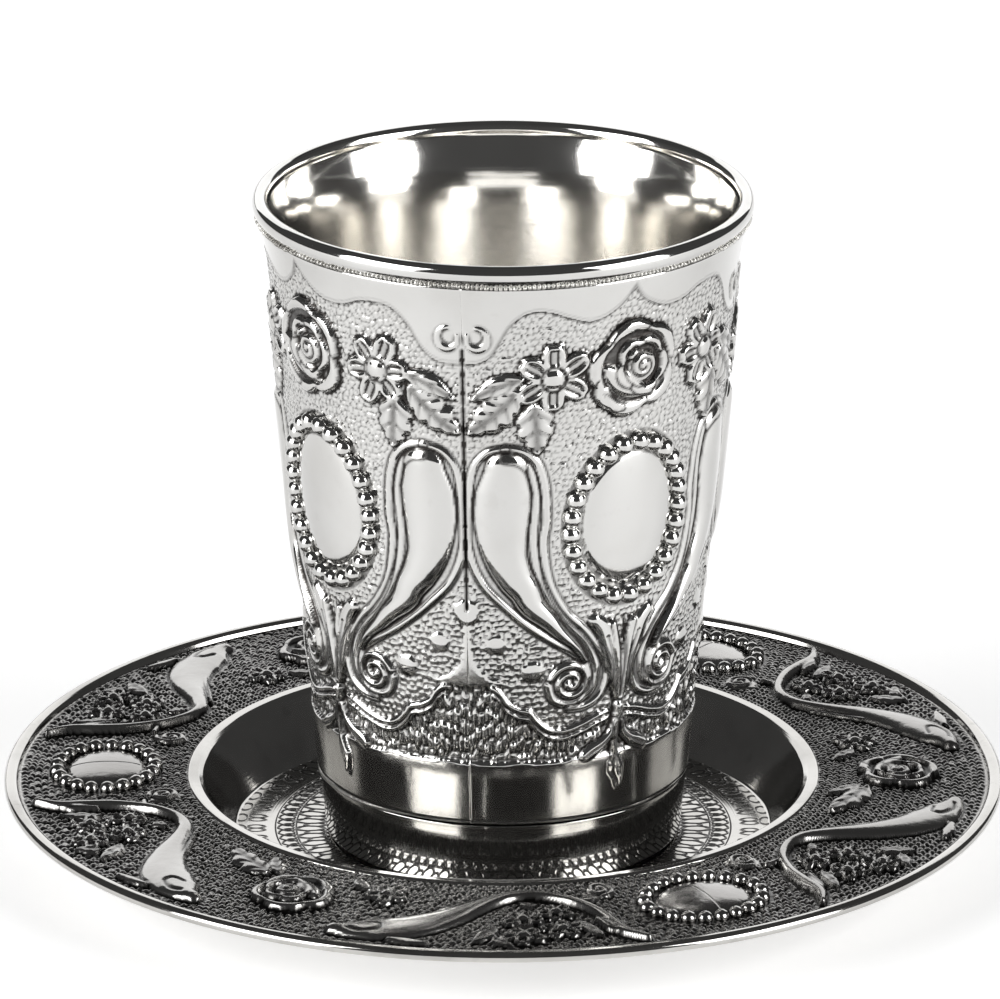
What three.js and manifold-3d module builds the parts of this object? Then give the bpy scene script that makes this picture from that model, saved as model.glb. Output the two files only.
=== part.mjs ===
// A kiddush cup on its saucer. The cup is a smooth spun beaker inside an embossed sleeve, and it stands
// loose in the well of an embossed saucer. Millimetres, +Z up. The origin is the centre of the saucer's
// underside. Heights on the cup are counted from the cup's own foot.
import * as THREE from "three";
import { mergeVertices } from "three/addons/utils/BufferGeometryUtils.js";
import Module from "manifold-3d";

// ---- Driving dimensions ----
const SAUCER_RADIUS = 62.5;
const SAUCER_SHEET = 1.0;
const WELL_FLOOR_RADIUS = 33.5;
const WELL_TOP_RADIUS = 37.6;
const BEVEL_RADIUS = 39.2;
const BRIM_RISE = 7.5;
const BRIM_FALL = 0.6;
const BORDER_WIDTH = 1.8;
const BORDER_THICKNESS = 1.5;
const BORDER_LIFT = 0.1; // how far the border's middle stands above the middle of the brim's sheet
const BEVEL_RISE = 0.3; // how far the bevel climbs towards the brim
const BEVEL_PROUD = 0.2; // how far the bevel's outer edge stands above the brim
const WALL_OFFSET = 0.4; // how much wider the well's wall starts below than above, for its sheet
const SAUCER_SIDES = 40;

const GAP = 0.3;
const CUP_HEIGHT = 83.0;
const FOOT_RADIUS = 22.2;
const WALL_SLOPE = 0.0915;
const FLARE_START = 74;
const FLARE_END = 82;
const FLARE_OUT = 1.25;
const LIP_HALF_WIDTH = 0.95;
const LIP_HALF_HEIGHT = 1.15;
const BEAKER_SHEET = 0.8;
const BEAKER_FLOOR = 1.2;
const FOOT_RECESS = 0.8;
const FOOT_RING = { inner: 2.6, flat: 1.4, edge: 0.3, edgeHeight: 0.5 }; // inset from FOOT_RADIUS, and rise
const FLOOR_CORNER = { top: 7, middle: 3.4, middleInset: 1.0, middleRise: 1.2, floorInset: 3.4 };
const CUP_SIDES = 32;

const SLEEVE_SHEET = 0.6;
const SLEEVE_BOTTOM = 8.4;
const SLEEVE_TOP = 80.2;
const BAND_TOP = 17.2;
const BAND_PROUD = 0.25;
const BAND_EDGE = 0.4; // height over which the band steps back to the wall
const COLLAR_STEP = 0.1; // how far the beaker's collar stands back from the sleeve's face

const CUP_PANELS = 4;
const SEAM_AZIMUTH = -100; // degrees from +X: a little left of the front
const SAUCER_SECTORS = 3;
const ROSE_AZIMUTH = -1; // degrees from +X to the first rose on the brim
const SINK = 0.25; // how far an ornament's base is sunk in the sheet that carries it
const BLUNTNESS = 0.01; // share of a bulb's length by which its round end is cut short
const GROOVE_SHARE = 0.5; // size of the groove between two beads, as a share of a bead
const LEAF_TIP = 0.08; // share of a leaf's half wave left out at each end

const SILVER = { color: 0xd9d7d2, roughness: 0.12, metalness: 1 };
const OXIDISED_SILVER = { color: 0x9d9b97, roughness: 0.3, metalness: 1 };

const radians = THREE.MathUtils.degToRad;

// ---- Solids ----
const wasm = await Module();
wasm.setup();

/** A closed three.js geometry as a solid that can be joined. */
function solidOf(geometry) {
  const bare = geometry.clone();
  bare.deleteAttribute("normal");
  bare.deleteAttribute("uv");
  const welded = mergeVertices(bare, 1e-4);
  const corners = welded.index.array;
  const triangles = [];
  for (let k = 0; k < corners.length; k += 3) {
    const [a, b, c] = corners.slice(k, k + 3);
    if (a !== b && b !== c && c !== a) triangles.push(a, b, c);
  }
  const vertProperties = Float32Array.from(welded.attributes.position.array);
  return new wasm.Manifold(new wasm.Mesh({ numProp: 3, vertProperties, triVerts: Uint32Array.from(triangles) }));
}

/** A joined solid as a three.js geometry. */
function geometryOf(solid) {
  const { vertProperties, triVerts } = solid.getMesh();
  const geometry = new THREE.BufferGeometry();
  geometry.setAttribute("position", new THREE.BufferAttribute(vertProperties, 3));
  geometry.setIndex(new THREE.BufferAttribute(triVerts, 1));
  geometry.computeVertexNormals();
  return geometry;
}

/** A profile of [radius, height] pairs turned round the vertical axis. */
function turned(profile, sides) {
  const points = profile.map(([radius, height]) => new THREE.Vector2(radius, height));
  return new THREE.LatheGeometry(points, sides).rotateX(Math.PI / 2);
}

/** Skins a row of equal loops and caps both ends. */
function skinned(loops) {
  const count = loops[0].length;
  const faces = [];
  for (let row = 0; row < loops.length - 1; row += 1) {
    const here = row * count;
    const next = here + count;
    for (let i = 0; i < count; i += 1) {
      const j = (i + 1) % count;
      faces.push(here + i, here + j, next + j, here + i, next + j, next + i);
    }
  }
  const last = (loops.length - 1) * count;
  for (let i = 1; i < count - 1; i += 1) {
    faces.push(0, i + 1, i, last, last + i, last + i + 1);
  }
  const geometry = new THREE.BufferGeometry().setFromPoints(loops.flat());
  return geometry.setIndex(faces);
}

// ---- Ornaments, modelled flat: x along the sheet, y up or outwards, z out of its face ----

/** A low mound on a round or lobed foot, cut off flat: its top is the foot's outline times crown. */
function mound({ x, y, radius, height, sides, crown, lobes = 0, lobeDepth = 0, turn = 0 }) {
  const loop = (spread, rise) =>
    Array.from({ length: sides }, (_, side) => {
      const angle = (side / sides) * Math.PI * 2 + turn;
      const reach = radius * spread * (1 + lobeDepth * (Math.cos(lobes * (angle - turn)) - 1));
      return new THREE.Vector3(x + reach * Math.cos(angle), y + reach * Math.sin(angle), rise);
    });
  return skinned([loop(1, -SINK), loop(crown, height)]);
}

/** A ridge that follows a path: a roof of two slopes, or of three with a flat top half as wide as its
    foot. Its half width and height are functions of the share of the way. */
function ridge({ path, steps, halfWidth, height, slopes = 2 }) {
  const loops = [];
  for (let step = 0; step <= steps; step += 1) {
    const share = step / steps;
    const { x, y } = path.getPoint(share);
    const tangent = path.getTangent(share);
    const wide = halfWidth(share);
    const high = height(share);
    const place = (across, rise) => new THREE.Vector3(x - tangent.y * across, y + tangent.x * across, rise);
    const tops = slopes === 3 ? [place(wide / 2, high), place(-wide / 2, high)] : [place(0, high)];
    loops.push([place(wide, -SINK), ...tops, place(-wide, -SINK)]);
  }
  return skinned(loops);
}

/** Half width of a long bulb that tapers into a tail, as a function of the share of the way along. */
function bulbAndTail({ halfWidth, tailHalfWidth, bulbShare, tailShare }) {
  return (share) => {
    const fromBulb = (share - bulbShare) / (bulbShare + BLUNTNESS);
    const body = share < bulbShare ? Math.sqrt(1 - fromBulb ** 2) : 1;
    const taper = THREE.MathUtils.clamp((share - bulbShare) / (tailShare - bulbShare), 0, 1);
    return THREE.MathUtils.lerp(halfWidth * body, tailHalfWidth, taper);
  };
}

/** A flat-topped ridge of that bulb and tail; lowest is the share of its height left where it has no width. */
function swollenRidge({ path, steps, height, lowest, ...widths }) {
  const halfWidth = bulbAndTail(widths);
  const rise = (share) => height * THREE.MathUtils.lerp(lowest, 1, halfWidth(share) / widths.halfWidth);
  return ridge({ path, steps, halfWidth, height: rise, slopes: 3 });
}

/** A smooth oval dome inside a ring of beads, in one solid: the ring narrows once between two beads. */
function medallion({ x, y, rx, ry, height, beads, beadRadius, beadHeight, crown }) {
  const sides = beads * 2;
  const loop = (beadsOut, rise, share = 1) =>
    Array.from({ length: sides }, (_, side) => {
      const angle = (side / sides) * Math.PI * 2;
      const size = beadsOut > 0 && side % 2 === 1 ? GROOVE_SHARE : 1;
      const outward = new THREE.Vector2(Math.cos(angle) / rx, Math.sin(angle) / ry).normalize();
      const lift = beadsOut > 0 ? beadRadius * (1 + beadsOut * size) : 0;
      return new THREE.Vector3(
        x + rx * share * Math.cos(angle) + lift * outward.x,
        y + ry * share * Math.sin(angle) + lift * outward.y,
        rise > 0 ? rise * size : rise,
      );
    });
  const foot = loop(1, -SINK);
  const beadTops = loop(0.3, beadHeight);
  const domeFoot = loop(0, height * 0.3);
  const domeTop = loop(0, height, crown);
  return skinned([foot, beadTops, domeFoot, domeTop]);
}

/** A leaf with a raised midrib and two narrow ends. */
function leaf({ from, to, halfWidth, height }) {
  const path = new THREE.LineCurve(new THREE.Vector2(...from), new THREE.Vector2(...to));
  const swell = (share) => Math.sin(Math.PI * THREE.MathUtils.lerp(LEAF_TIP, 1 - LEAF_TIP, share));
  return ridge({ path, steps: 2, halfWidth: (s) => halfWidth * swell(s), height: (s) => height * swell(s) });
}

/** A rose: a lobed whorl of petals round a higher bud. */
function rose({ x, y, radius, height }) {
  return [
    mound({ x, y, radius, height: height * 0.7, sides: 10, crown: 0.72, lobes: 5, lobeDepth: 0.06 }),
    mound({ x, y, radius: radius * 0.6, height, sides: 5, crown: 0.5 }),
  ];
}

/** An open flower: a flat whorl of petals round a ball, with one petal at the top. */
function flower({ x, y, radius, height, petals = 5 }) {
  const whorl = { sides: petals * 2, crown: 0.7, lobes: petals, lobeDepth: 0.12, turn: Math.PI / 2 };
  return [
    mound({ x, y, radius, height: height * 0.6, ...whorl }),
    mound({ x, y, radius: radius * 0.36, height, sides: 5, crown: 0.5 }),
  ];
}

// ---- Laying ornaments on the cup's wall and on the saucer's brim ----

/** Radius of the plain wall of the cup at a height above its foot. */
function wallRadius(height) {
  const flare = Math.max(0, (height - FLARE_START) / (FLARE_END - FLARE_START));
  return FOOT_RADIUS + WALL_SLOPE * height + FLARE_OUT * flare * flare;
}

/** Moves every corner of a geometry to where place puts it. */
function relocated(geometry, place) {
  const position = geometry.attributes.position;
  const spot = new THREE.Vector3();
  for (let i = 0; i < position.count; i += 1) {
    position.setXYZ(i, ...place(spot.fromBufferAttribute(position, i)));
  }
  return geometry;
}

/** Wraps a flat ornament round the cup, with its x = 0 at an azimuth in degrees. */
function wrapped(geometry, azimuth) {
  return relocated(geometry, ({ x, y, z }) => {
    const around = radians(azimuth) + x / wallRadius(y);
    const radius = wallRadius(y) + z;
    return [radius * Math.cos(around), radius * Math.sin(around), y];
  });
}

/** Height of the brim's top face at a radius, above the saucer's underside. */
function brimHeight(radius) {
  const outwards = (radius - BEVEL_RADIUS) / (SAUCER_RADIUS - BEVEL_RADIUS);
  return SAUCER_SHEET + BRIM_RISE - BRIM_FALL * outwards;
}

/** Lays a flat ornament on the brim. Its x is degrees clockwise from an azimuth times the arc of a degree
    at the middle of the brim, and its y is the radius. */
function laid(geometry, azimuth) {
  return relocated(geometry, ({ x, y, z }) => {
    const around = radians(azimuth) - x / BRIM_MIDDLE;
    return [y * Math.cos(around), y * Math.sin(around), brimHeight(y) + z];
  });
}

// ---- The relief of one cup panel ----
const HALF_PANEL = Math.PI / CUP_PANELS;

const MEDALLION = { y: 48.4, rx: 6.7, ry: 8.8, height: 1.0, beads: 14, beadRadius: 1.2, beadHeight: 1.3,
  crown: 0.6 };
const ROSE = { x: 0, y: 68.4, radius: 6.1, height: 1.4 };
const FLOWER = { offset: 11.2, y: 68.2, radius: 4.6, height: 1.2 };
const LEAVES = [
  { from: [15.4, 68.0], to: [20.6, 62.4], halfWidth: 2.3, height: 0.9 },
  { from: [14.6, 64.4], to: [13.4, 58.6], halfWidth: 2.2, height: 0.9 },
];
const BOSS = {
  // distance from the seam line and height, from the bulb down to the start of the curl
  spine: [[6.0, 58.4], [5.6, 54.6], [5.4, 50.2], [5.9, 45.4], [8.4, 40.6], [12.2, 36.6], [15.6, 32.6], [16.6, 28.6]],
  halfWidth: 4.6,
  tailHalfWidth: 1.7,
  bulbShare: 0.3,
  tailShare: 0.9,
  height: 1.25,
  lowest: 0.45,
};
const CURL = { offset: 6.8, y: 27.3, radius: 3.0, height: 0.9, sides: 6, crown: 0.7 };
const GARLAND = {
  // the raised lower border, from the drop on the panel's axis to the seam
  points: [[1.2, 22.4], [4.6, 21.5], [7.8, 21.1], [10.8, 22.8], [13.4, 24.3], [17.4, 27.6]],
  halfWidth: 0.7,
  height: 0.6,
};
const PALMETTE = { bottom: 25.0, top: 35.4, footShare: 0.25, halfWidth: 3.2, height: 0.8 };
const DROP = { top: 22.6, bottom: 12.6, halfWidth: 1.5, height: 0.9 };

/** A smooth curve through a list of [x, y] pairs. */
function spline(points) {
  return new THREE.SplineCurve(points.map(([x, y]) => new THREE.Vector2(x, y)));
}

/** The half of the panel's relief on one side of its axis; side is -1 to the left and 1 to the right. */
function halfPanel(side) {
  const flowers = flower({ ...FLOWER, x: side * FLOWER.offset });
  const leaves = LEAVES.map(({ from, to, ...size }) =>
    leaf({ from: [side * from[0], from[1]], to: [side * to[0], to[1]], ...size }));
  const { spine, ...bossSize } = BOSS;
  const bossPath = spline(spine.map(([fromSeam, y]) => [side * (wallRadius(y) * HALF_PANEL - fromSeam), y]));
  const boss = swollenRidge({ path: bossPath, steps: 7, ...bossSize });
  const curl = mound({ ...CURL, x: side * CURL.offset });
  const garland = ridge({ path: spline(GARLAND.points.map(([x, y]) => [side * x, y])), steps: 4,
    halfWidth: () => GARLAND.halfWidth, height: () => GARLAND.height });
  return [...flowers, ...leaves, boss, curl, garland];
}

/** All the ornaments of one cup panel. */
function panelRelief() {
  const { bottom, top, footShare, halfWidth, height } = PALMETTE;
  const plume = ridge({ path: spline([[0, bottom], [0, top]]), steps: 3,
    halfWidth: (share) => halfWidth * THREE.MathUtils.lerp(footShare, 1, share), height: () => height });
  return [
    medallion({ x: 0, ...MEDALLION }),
    ...rose(ROSE),
    plume,
    leaf({ from: [0, DROP.top], to: [0, DROP.bottom], halfWidth: DROP.halfWidth, height: DROP.height }),
    ...halfPanel(-1),
    ...halfPanel(1),
  ];
}

// ---- The relief of one saucer sector, between two medallions, with the rose on its axis ----
const BRIM_MIDDLE = 50;
const HALF_SECTOR = 180 / SAUCER_SECTORS;
const SAUCER_MEDALLION = { y: 49.8, rx: 6.0, ry: 4.8, height: 1.0, beads: 10, beadRadius: 1.0,
  beadHeight: 1.1, crown: 0.6 };
const SAUCER_ROSE = { x: 0, y: 50.0, radius: 4.8, height: 1.3 };
const SCROLL = {
  // degrees from the rose and radius: the bulb by the rim, the bend by the well, and the arm back to the rim
  spine: [[11, 57.6], [15, 56.2], [19.5, 53.6], [24, 49.8], [28, 46.2], [32, 44.0], [37, 44.2], [41.5, 46.6],
    [44.5, 50.6], [45.8, 55.0], [48.4, 59.6]],
  halfWidth: 2.6,
  tailHalfWidth: 0.9,
  bulbShare: 0.14,
  tailShare: 0.5,
  height: 1.2,
  lowest: 0.5,
};
const BOUQUET = { angle: 36.0, y: 52.0, radius: 4.2, height: 1.1, sides: 10, crown: 0.4, lobes: 5,
  lobeDepth: 0.1 };
const SIDE_LEAF = { from: [7.5, 46.0], to: [18.5, 43.4], halfWidth: 1.9, height: 0.9 };
const SIDE_FLOWER = { angle: -13, y: 45.4, radius: 2.9, height: 0.9, sides: 8, crown: 0.4, lobes: 4,
  lobeDepth: 0.15 };

/** Length of an arc at the middle of the brim. */
const arcOf = (degrees) => radians(degrees) * BRIM_MIDDLE;

/** The scroll and the bouquet on one side of a sector's rose. */
function halfSector(side) {
  const { spine, ...scrollSize } = SCROLL;
  const path = spline(spine.map(([angle, y]) => [side * arcOf(angle), y]));
  return [
    swollenRidge({ path, steps: 9, ...scrollSize }),
    mound({ ...BOUQUET, x: side * arcOf(BOUQUET.angle) }),
  ];
}

/** All the ornaments of one sector of the brim. */
function sectorRelief() {
  const { from, to, ...size } = SIDE_LEAF;
  return [
    ...rose(SAUCER_ROSE),
    leaf({ from: [arcOf(from[0]), from[1]], to: [arcOf(to[0]), to[1]], ...size }),
    mound({ ...SIDE_FLOWER, x: arcOf(SIDE_FLOWER.angle) }),
    medallion({ x: arcOf(HALF_SECTOR), ...SAUCER_MEDALLION }),
    ...halfSector(-1),
    ...halfSector(1),
  ];
}

// ---- The three pieces ----

/** The smooth beaker: its foot shows below the sleeve, and its collar and rolled lip stand above it. */
function beakerGeometry() {
  const hidden = SLEEVE_SHEET + GAP;
  const lipRadius = wallRadius(FLARE_END) - LIP_HALF_WIDTH;
  const lipHeight = CUP_HEIGHT - LIP_HALF_HEIGHT;
  const lip = [];
  for (const degrees of [-45, 0, 45, 90, 135, 180]) {
    const angle = radians(degrees);
    lip.push([lipRadius + LIP_HALF_WIDTH * Math.cos(angle), lipHeight + LIP_HALF_HEIGHT * Math.sin(angle)]);
  }
  const outside = [
    [0, FOOT_RECESS],
    [FOOT_RADIUS - FOOT_RING.inner, FOOT_RECESS],
    [FOOT_RADIUS - FOOT_RING.flat, 0],
    [FOOT_RADIUS - FOOT_RING.edge, 0],
    [wallRadius(FOOT_RING.edgeHeight), FOOT_RING.edgeHeight],
    [wallRadius(SLEEVE_BOTTOM - GAP), SLEEVE_BOTTOM - GAP],
    [wallRadius(SLEEVE_BOTTOM) - hidden, SLEEVE_BOTTOM - GAP],
    [wallRadius(FLARE_START) - hidden, FLARE_START],
    [wallRadius(SLEEVE_TOP) - hidden, SLEEVE_TOP + GAP],
    [wallRadius(SLEEVE_TOP) - COLLAR_STEP, SLEEVE_TOP + GAP],
  ];
  const floor = FOOT_RECESS + BEAKER_FLOOR;
  const innerRadius = (height, inset = 0) => wallRadius(height) - hidden - BEAKER_SHEET - inset;
  const { top, middle, middleInset, middleRise, floorInset } = FLOOR_CORNER;
  const inside = [
    [innerRadius(FLARE_START), FLARE_START],
    [innerRadius(top), top],
    [innerRadius(middle, middleInset), floor + middleRise],
    [innerRadius(0, floorInset), floor],
    [0, floor],
  ];
  return turned([...outside, ...lip, ...inside], CUP_SIDES);
}

/** The sleeve's outside before its bore is cut: a plain taper with a polished band at its foot. */
function sleeveBlock() {
  const outer = (height, proud = 0) => [wallRadius(height) + proud, height];
  const profile = [
    [0, SLEEVE_BOTTOM],
    outer(SLEEVE_BOTTOM, BAND_PROUD),
    outer(BAND_TOP, BAND_PROUD),
    outer(BAND_TOP + BAND_EDGE),
    outer(FLARE_START),
    outer((FLARE_START + SLEEVE_TOP) / 2),
    outer(SLEEVE_TOP),
    [0, SLEEVE_TOP],
  ];
  return turned(profile, CUP_SIDES);
}

/** The smooth bore that leaves the sleeve's sheet at its true thickness. */
function sleeveBore() {
  const inner = (height) => [wallRadius(height) - SLEEVE_SHEET, height];
  const below = SLEEVE_BOTTOM - SLEEVE_SHEET;
  const above = SLEEVE_TOP + SLEEVE_SHEET;
  return turned([[0, below], inner(below), inner(FLARE_START), inner(SLEEVE_TOP), inner(above), [0, above]], CUP_SIDES);
}

/** The plain saucer: flat floor, steep wall, bevelled ring, level brim and a rounded border. */
function saucerGeometry() {
  const borderRadius = SAUCER_RADIUS - BORDER_WIDTH / 2;
  const borderHeight = brimHeight(borderRadius) - SAUCER_SHEET / 2 + BORDER_LIFT;
  const border = [];
  for (const degrees of [-90, -45, 0, 45, 90]) {
    const angle = radians(degrees);
    border.push([borderRadius + (BORDER_WIDTH / 2) * Math.cos(angle),
      borderHeight + (BORDER_THICKNESS / 2) * Math.sin(angle)]);
  }
  const brimEnd = SAUCER_RADIUS - BORDER_WIDTH;
  const bevelTop = brimHeight(BEVEL_RADIUS) + BEVEL_PROUD;
  const profile = [
    [0, 0],
    [WELL_FLOOR_RADIUS + WALL_OFFSET, 0],
    [WELL_TOP_RADIUS + SAUCER_SHEET, brimHeight(BEVEL_RADIUS) - SAUCER_SHEET],
    [brimEnd, brimHeight(brimEnd) - SAUCER_SHEET],
    ...border,
    [brimEnd, brimHeight(brimEnd)],
    [BEVEL_RADIUS, bevelTop],
    [WELL_TOP_RADIUS, bevelTop - BEVEL_RISE],
    [WELL_FLOOR_RADIUS, SAUCER_SHEET],
    [0, SAUCER_SHEET],
  ];
  return turned(profile, SAUCER_SIDES);
}

/** A plain body with its ornaments joined to it. */
function embossed(base, reliefs) {
  return reliefs.reduce((body, ornament) => body.add(solidOf(ornament)), solidOf(base));
}

const panels = Array.from({ length: CUP_PANELS }, (_, panel) => SEAM_AZIMUTH + (panel + 0.5) * (360 / CUP_PANELS));
const sectors = Array.from({ length: SAUCER_SECTORS }, (_, sector) => ROSE_AZIMUTH + sector * HALF_SECTOR * 2);

const beaker = new THREE.Mesh(beakerGeometry(), new THREE.MeshStandardMaterial(SILVER));
beaker.name = "inner_beaker";

const cupRelief = panels.flatMap((azimuth) => panelRelief().map((flat) => wrapped(flat, azimuth)));
const sleeve = new THREE.Mesh(
  geometryOf(embossed(sleeveBlock(), cupRelief).subtract(solidOf(sleeveBore()))),
  new THREE.MeshStandardMaterial(SILVER),
);
sleeve.name = "embossed_sleeve";

const brimRelief = sectors.flatMap((azimuth) => sectorRelief().map((flat) => laid(flat, azimuth)));
const saucer = new THREE.Mesh(
  geometryOf(embossed(saucerGeometry(), brimRelief)),
  new THREE.MeshStandardMaterial(OXIDISED_SILVER),
);
saucer.name = "saucer";

const cup = new THREE.Group();
cup.position.z = SAUCER_SHEET + GAP;
cup.add(beaker, sleeve);

const cupAndSaucer = new THREE.Group();
cupAndSaucer.add(saucer, cup);

export default cupAndSaucer;
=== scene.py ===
"""Looks of the embossed silver kiddush cup on its saucer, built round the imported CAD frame.

Millimetres are used while a shape is worked out, and metres once it is a mesh. Heights of the cup are
measured from the underside of its foot, which stands on the saucer.
"""

import math

import bpy
import numpy as np
from bpy.props import FloatProperty, FloatVectorProperty, IntProperty, PointerProperty
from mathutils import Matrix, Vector


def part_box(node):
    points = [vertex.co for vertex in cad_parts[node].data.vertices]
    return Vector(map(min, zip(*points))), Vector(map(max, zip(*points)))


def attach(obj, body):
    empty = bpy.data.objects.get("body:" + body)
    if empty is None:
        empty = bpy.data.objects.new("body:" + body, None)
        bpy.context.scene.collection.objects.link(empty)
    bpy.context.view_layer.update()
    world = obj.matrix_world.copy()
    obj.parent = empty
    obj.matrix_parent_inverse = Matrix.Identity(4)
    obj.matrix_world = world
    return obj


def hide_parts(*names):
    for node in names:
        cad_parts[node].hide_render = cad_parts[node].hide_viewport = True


bl_info = {
    "name": "Embossed kiddush cup",
    "version": (1, 0, 0),
    "blender": (4, 5, 0),
    "location": "View3D > Sidebar > Kiddush cup",
    "description": "Builds an embossed silver kiddush cup with its saucer",
    "category": "Add Mesh",
}

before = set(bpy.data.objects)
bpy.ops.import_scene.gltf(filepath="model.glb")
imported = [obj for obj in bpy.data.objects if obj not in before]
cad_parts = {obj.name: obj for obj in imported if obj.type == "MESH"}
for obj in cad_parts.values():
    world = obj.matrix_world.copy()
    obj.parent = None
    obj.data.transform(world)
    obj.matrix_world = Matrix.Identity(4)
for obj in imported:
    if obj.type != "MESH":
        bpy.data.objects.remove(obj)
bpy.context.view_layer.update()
SAUCER_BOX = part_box("saucer")
CUP_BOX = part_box("inner_beaker")
MM = 0.001

# The plan of the ornament
CUP_PANELS = 4
CUP_SEAM = math.radians(-100)
SAUCER_SECTORS = 3
SAUCER_ROSE = math.radians(-1)
LATHE_STEPS = 224
GRID_PITCH = 0.215


# ---------------------------------------------------------------- sizes and colours


def length(name, millimetres, description):
    """A length that a user may change, kept in metres."""
    default = millimetres * MM
    return FloatProperty(name=name, description=description, default=default, unit="LENGTH", precision=5)


def share(name, value, description):
    """A number from 0 to 1."""
    return FloatProperty(name=name, description=description, default=value, min=0, max=1, subtype="FACTOR")


def colour(name, value, description):
    """A linear red, green and blue."""
    return FloatVectorProperty(
        name=name, description=description, default=value, size=3, min=0, max=1, subtype="COLOR"
    )


class KIDDUSH_PG_cup(bpy.types.PropertyGroup):
    foot_radius: length("Foot radius", 22.2, "Outer radius where the cup stands")
    flare_out: length("Flare", 1.25, "How far the wall leans out further below the lip")
    lip_half_width: length("Lip half width", 0.95, "Half the thickness of the rolled lip")
    lip_half_height: length("Lip half height", 1.15, "Half the height of the rolled lip")
    beaker_sheet: length("Beaker sheet", 0.8, "Thickness of the beaker's wall")
    sleeve_sheet: length("Sleeve sheet", 0.6, "Thickness of the embossed sleeve")
    sleeve_bottom: length("Sleeve bottom", 8.4, "Height where the sleeve starts")
    sleeve_top: length("Sleeve top", 80.2, "Height where the sleeve ends")
    band_top: length("Band top", 17.2, "Top of the polished band under the ornament")
    band_proud: length("Band relief", 0.25, "How far the polished band stands out")
    bead_radius: length("Bead radius", 1.28, "Radius of the beads round a medallion")
    bead_count: IntProperty(name="Beads", description="Beads round one medallion", default=25, min=8, max=60)


class KIDDUSH_PG_saucer(bpy.types.PropertyGroup):
    floor_radius: length("Well floor radius", 33.5, "Radius of the flat floor")
    bevel_radius: length("Bevel radius", 39.2, "Outer radius of the bright bevel round the well")
    brim_rise: length("Brim rise", 7.5, "Height of the brim over the floor")
    brim_fall: length("Brim fall", 0.6, "How far the brim drops towards its edge")
    border_width: length("Border width", 1.8, "Width of the plain rolled edge")
    sheet: length("Sheet", 1.0, "Thickness of the saucer")
    bead_radius: length("Bead radius", 1.0, "Radius of the beads round a medallion")
    bead_count: IntProperty(name="Beads", description="Beads round one medallion", default=21, min=8, max=60)
    granule_pitch: length("Granule pitch", 0.95, "Distance between the punched granules")


class KIDDUSH_PG_finish(bpy.types.PropertyGroup):
    silver: colour("Silver", (0.63, 0.625, 0.61), "Polished silver of the cup")
    inside: colour("Inside", (0.88, 0.865, 0.835), "Silver inside the cup")
    oxide: colour("Oxide", (0.035, 0.032, 0.03), "Dark oxide left in the recesses")
    saucer: colour("Saucer", (0.42, 0.412, 0.40), "Oxidised silver of the saucer's brim")
    saucer_bright: colour("Saucer edge", (0.52, 0.51, 0.49), "Rubbed silver of the saucer's edge and well")
    polish: share("Roughness", 0.075, "Roughness of the polished silver")


class KIDDUSH_PG_stage(bpy.types.PropertyGroup):
    camera_distance: length("Camera distance", 1145.8, "Distance from the saucer's centre, along the table")
    camera_height: length("Camera height", 443.8, "Height of the camera over the table")
    camera_tilt: FloatProperty(
        name="Camera tilt", description="Angle below the horizon", default=0.335518, subtype="ANGLE"
    )
    lens: FloatProperty(name="Lens", description="Focal length in millimetres", default=351.88)
    daylight: FloatProperty(name="Daylight", description="Strength of the light all round", default=1.0)


SETTINGS = {
    "kiddush_cup": KIDDUSH_PG_cup,
    "kiddush_saucer": KIDDUSH_PG_saucer,
    "kiddush_finish": KIDDUSH_PG_finish,
    "kiddush_stage": KIDDUSH_PG_stage,
}


def mm(metres):
    """Metres to the millimetres in which shapes are worked out."""
    return metres / MM


# ---------------------------------------------------------------- the shape of the sheets

SPLINE_STEPS = 6
ROW_SHARE = 0.87  # distance between the rows of a honeycomb, as a share of its pitch
WALL_SLOPE = 0.0915
FLARE_START, FLARE_LENGTH = 74.0, 8.0
CUP_BASE = mm(CUP_BOX[0].z)


def wall_radius(height, cup):
    """Outer radius of the cup's wall, which leans out more just below the lip."""
    flare = np.clip((np.asarray(height, float) - FLARE_START) / FLARE_LENGTH, 0, None) ** 2
    return mm(cup.foot_radius) + WALL_SLOPE * np.asarray(height, float) + mm(cup.flare_out) * flare


def brim_height(radius, saucer):
    """Height of the saucer's brim over the table."""
    outer = mm(SAUCER_BOX[1].x)
    inner = mm(saucer.bevel_radius)
    along = (np.asarray(radius, float) - inner) / (outer - inner)
    return mm(saucer.sheet) + mm(saucer.brim_rise) - mm(saucer.brim_fall) * along


def spline(points):
    """A smooth path through the points, with SPLINE_STEPS steps from each to the next."""
    pts = np.asarray(points, float)
    last = len(pts) - 1
    path = []
    for i in range(last):
        a, b, c, d = (pts[min(max(i + k, 0), last)] for k in (-1, 0, 1, 2))
        for t in np.arange(SPLINE_STEPS) / SPLINE_STEPS:
            bend = (2 * a - 5 * b + 4 * c - d) * t**2 + (3 * b - a - 3 * c + d) * t**3
            path.append(0.5 * (2 * b + (c - a) * t + bend))
    path.append(pts[-1])
    return np.array(path)


def nearest(x, y, path):
    """Distance from each point to the path, and how far along it that is."""
    starts, steps = path[:-1], np.diff(path, axis=0)
    lengths = np.hypot(steps[:, 0], steps[:, 1])
    run = np.concatenate(([0], np.cumsum(lengths)))
    best = np.full(x.shape, np.inf)
    along = np.zeros(x.shape)
    for (ax, ay), (vx, vy), size, start in zip(starts, steps, lengths, run):
        if size < 1e-9:
            continue
        t = np.clip(((x - ax) * vx + (y - ay) * vy) / size**2, 0, 1)
        gap = np.hypot(x - ax - t * vx, y - ay - t * vy)
        closer = gap < best
        best = np.where(closer, gap, best)
        along = np.where(closer, (start + t * size) / run[-1], along)
    return best, along


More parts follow.
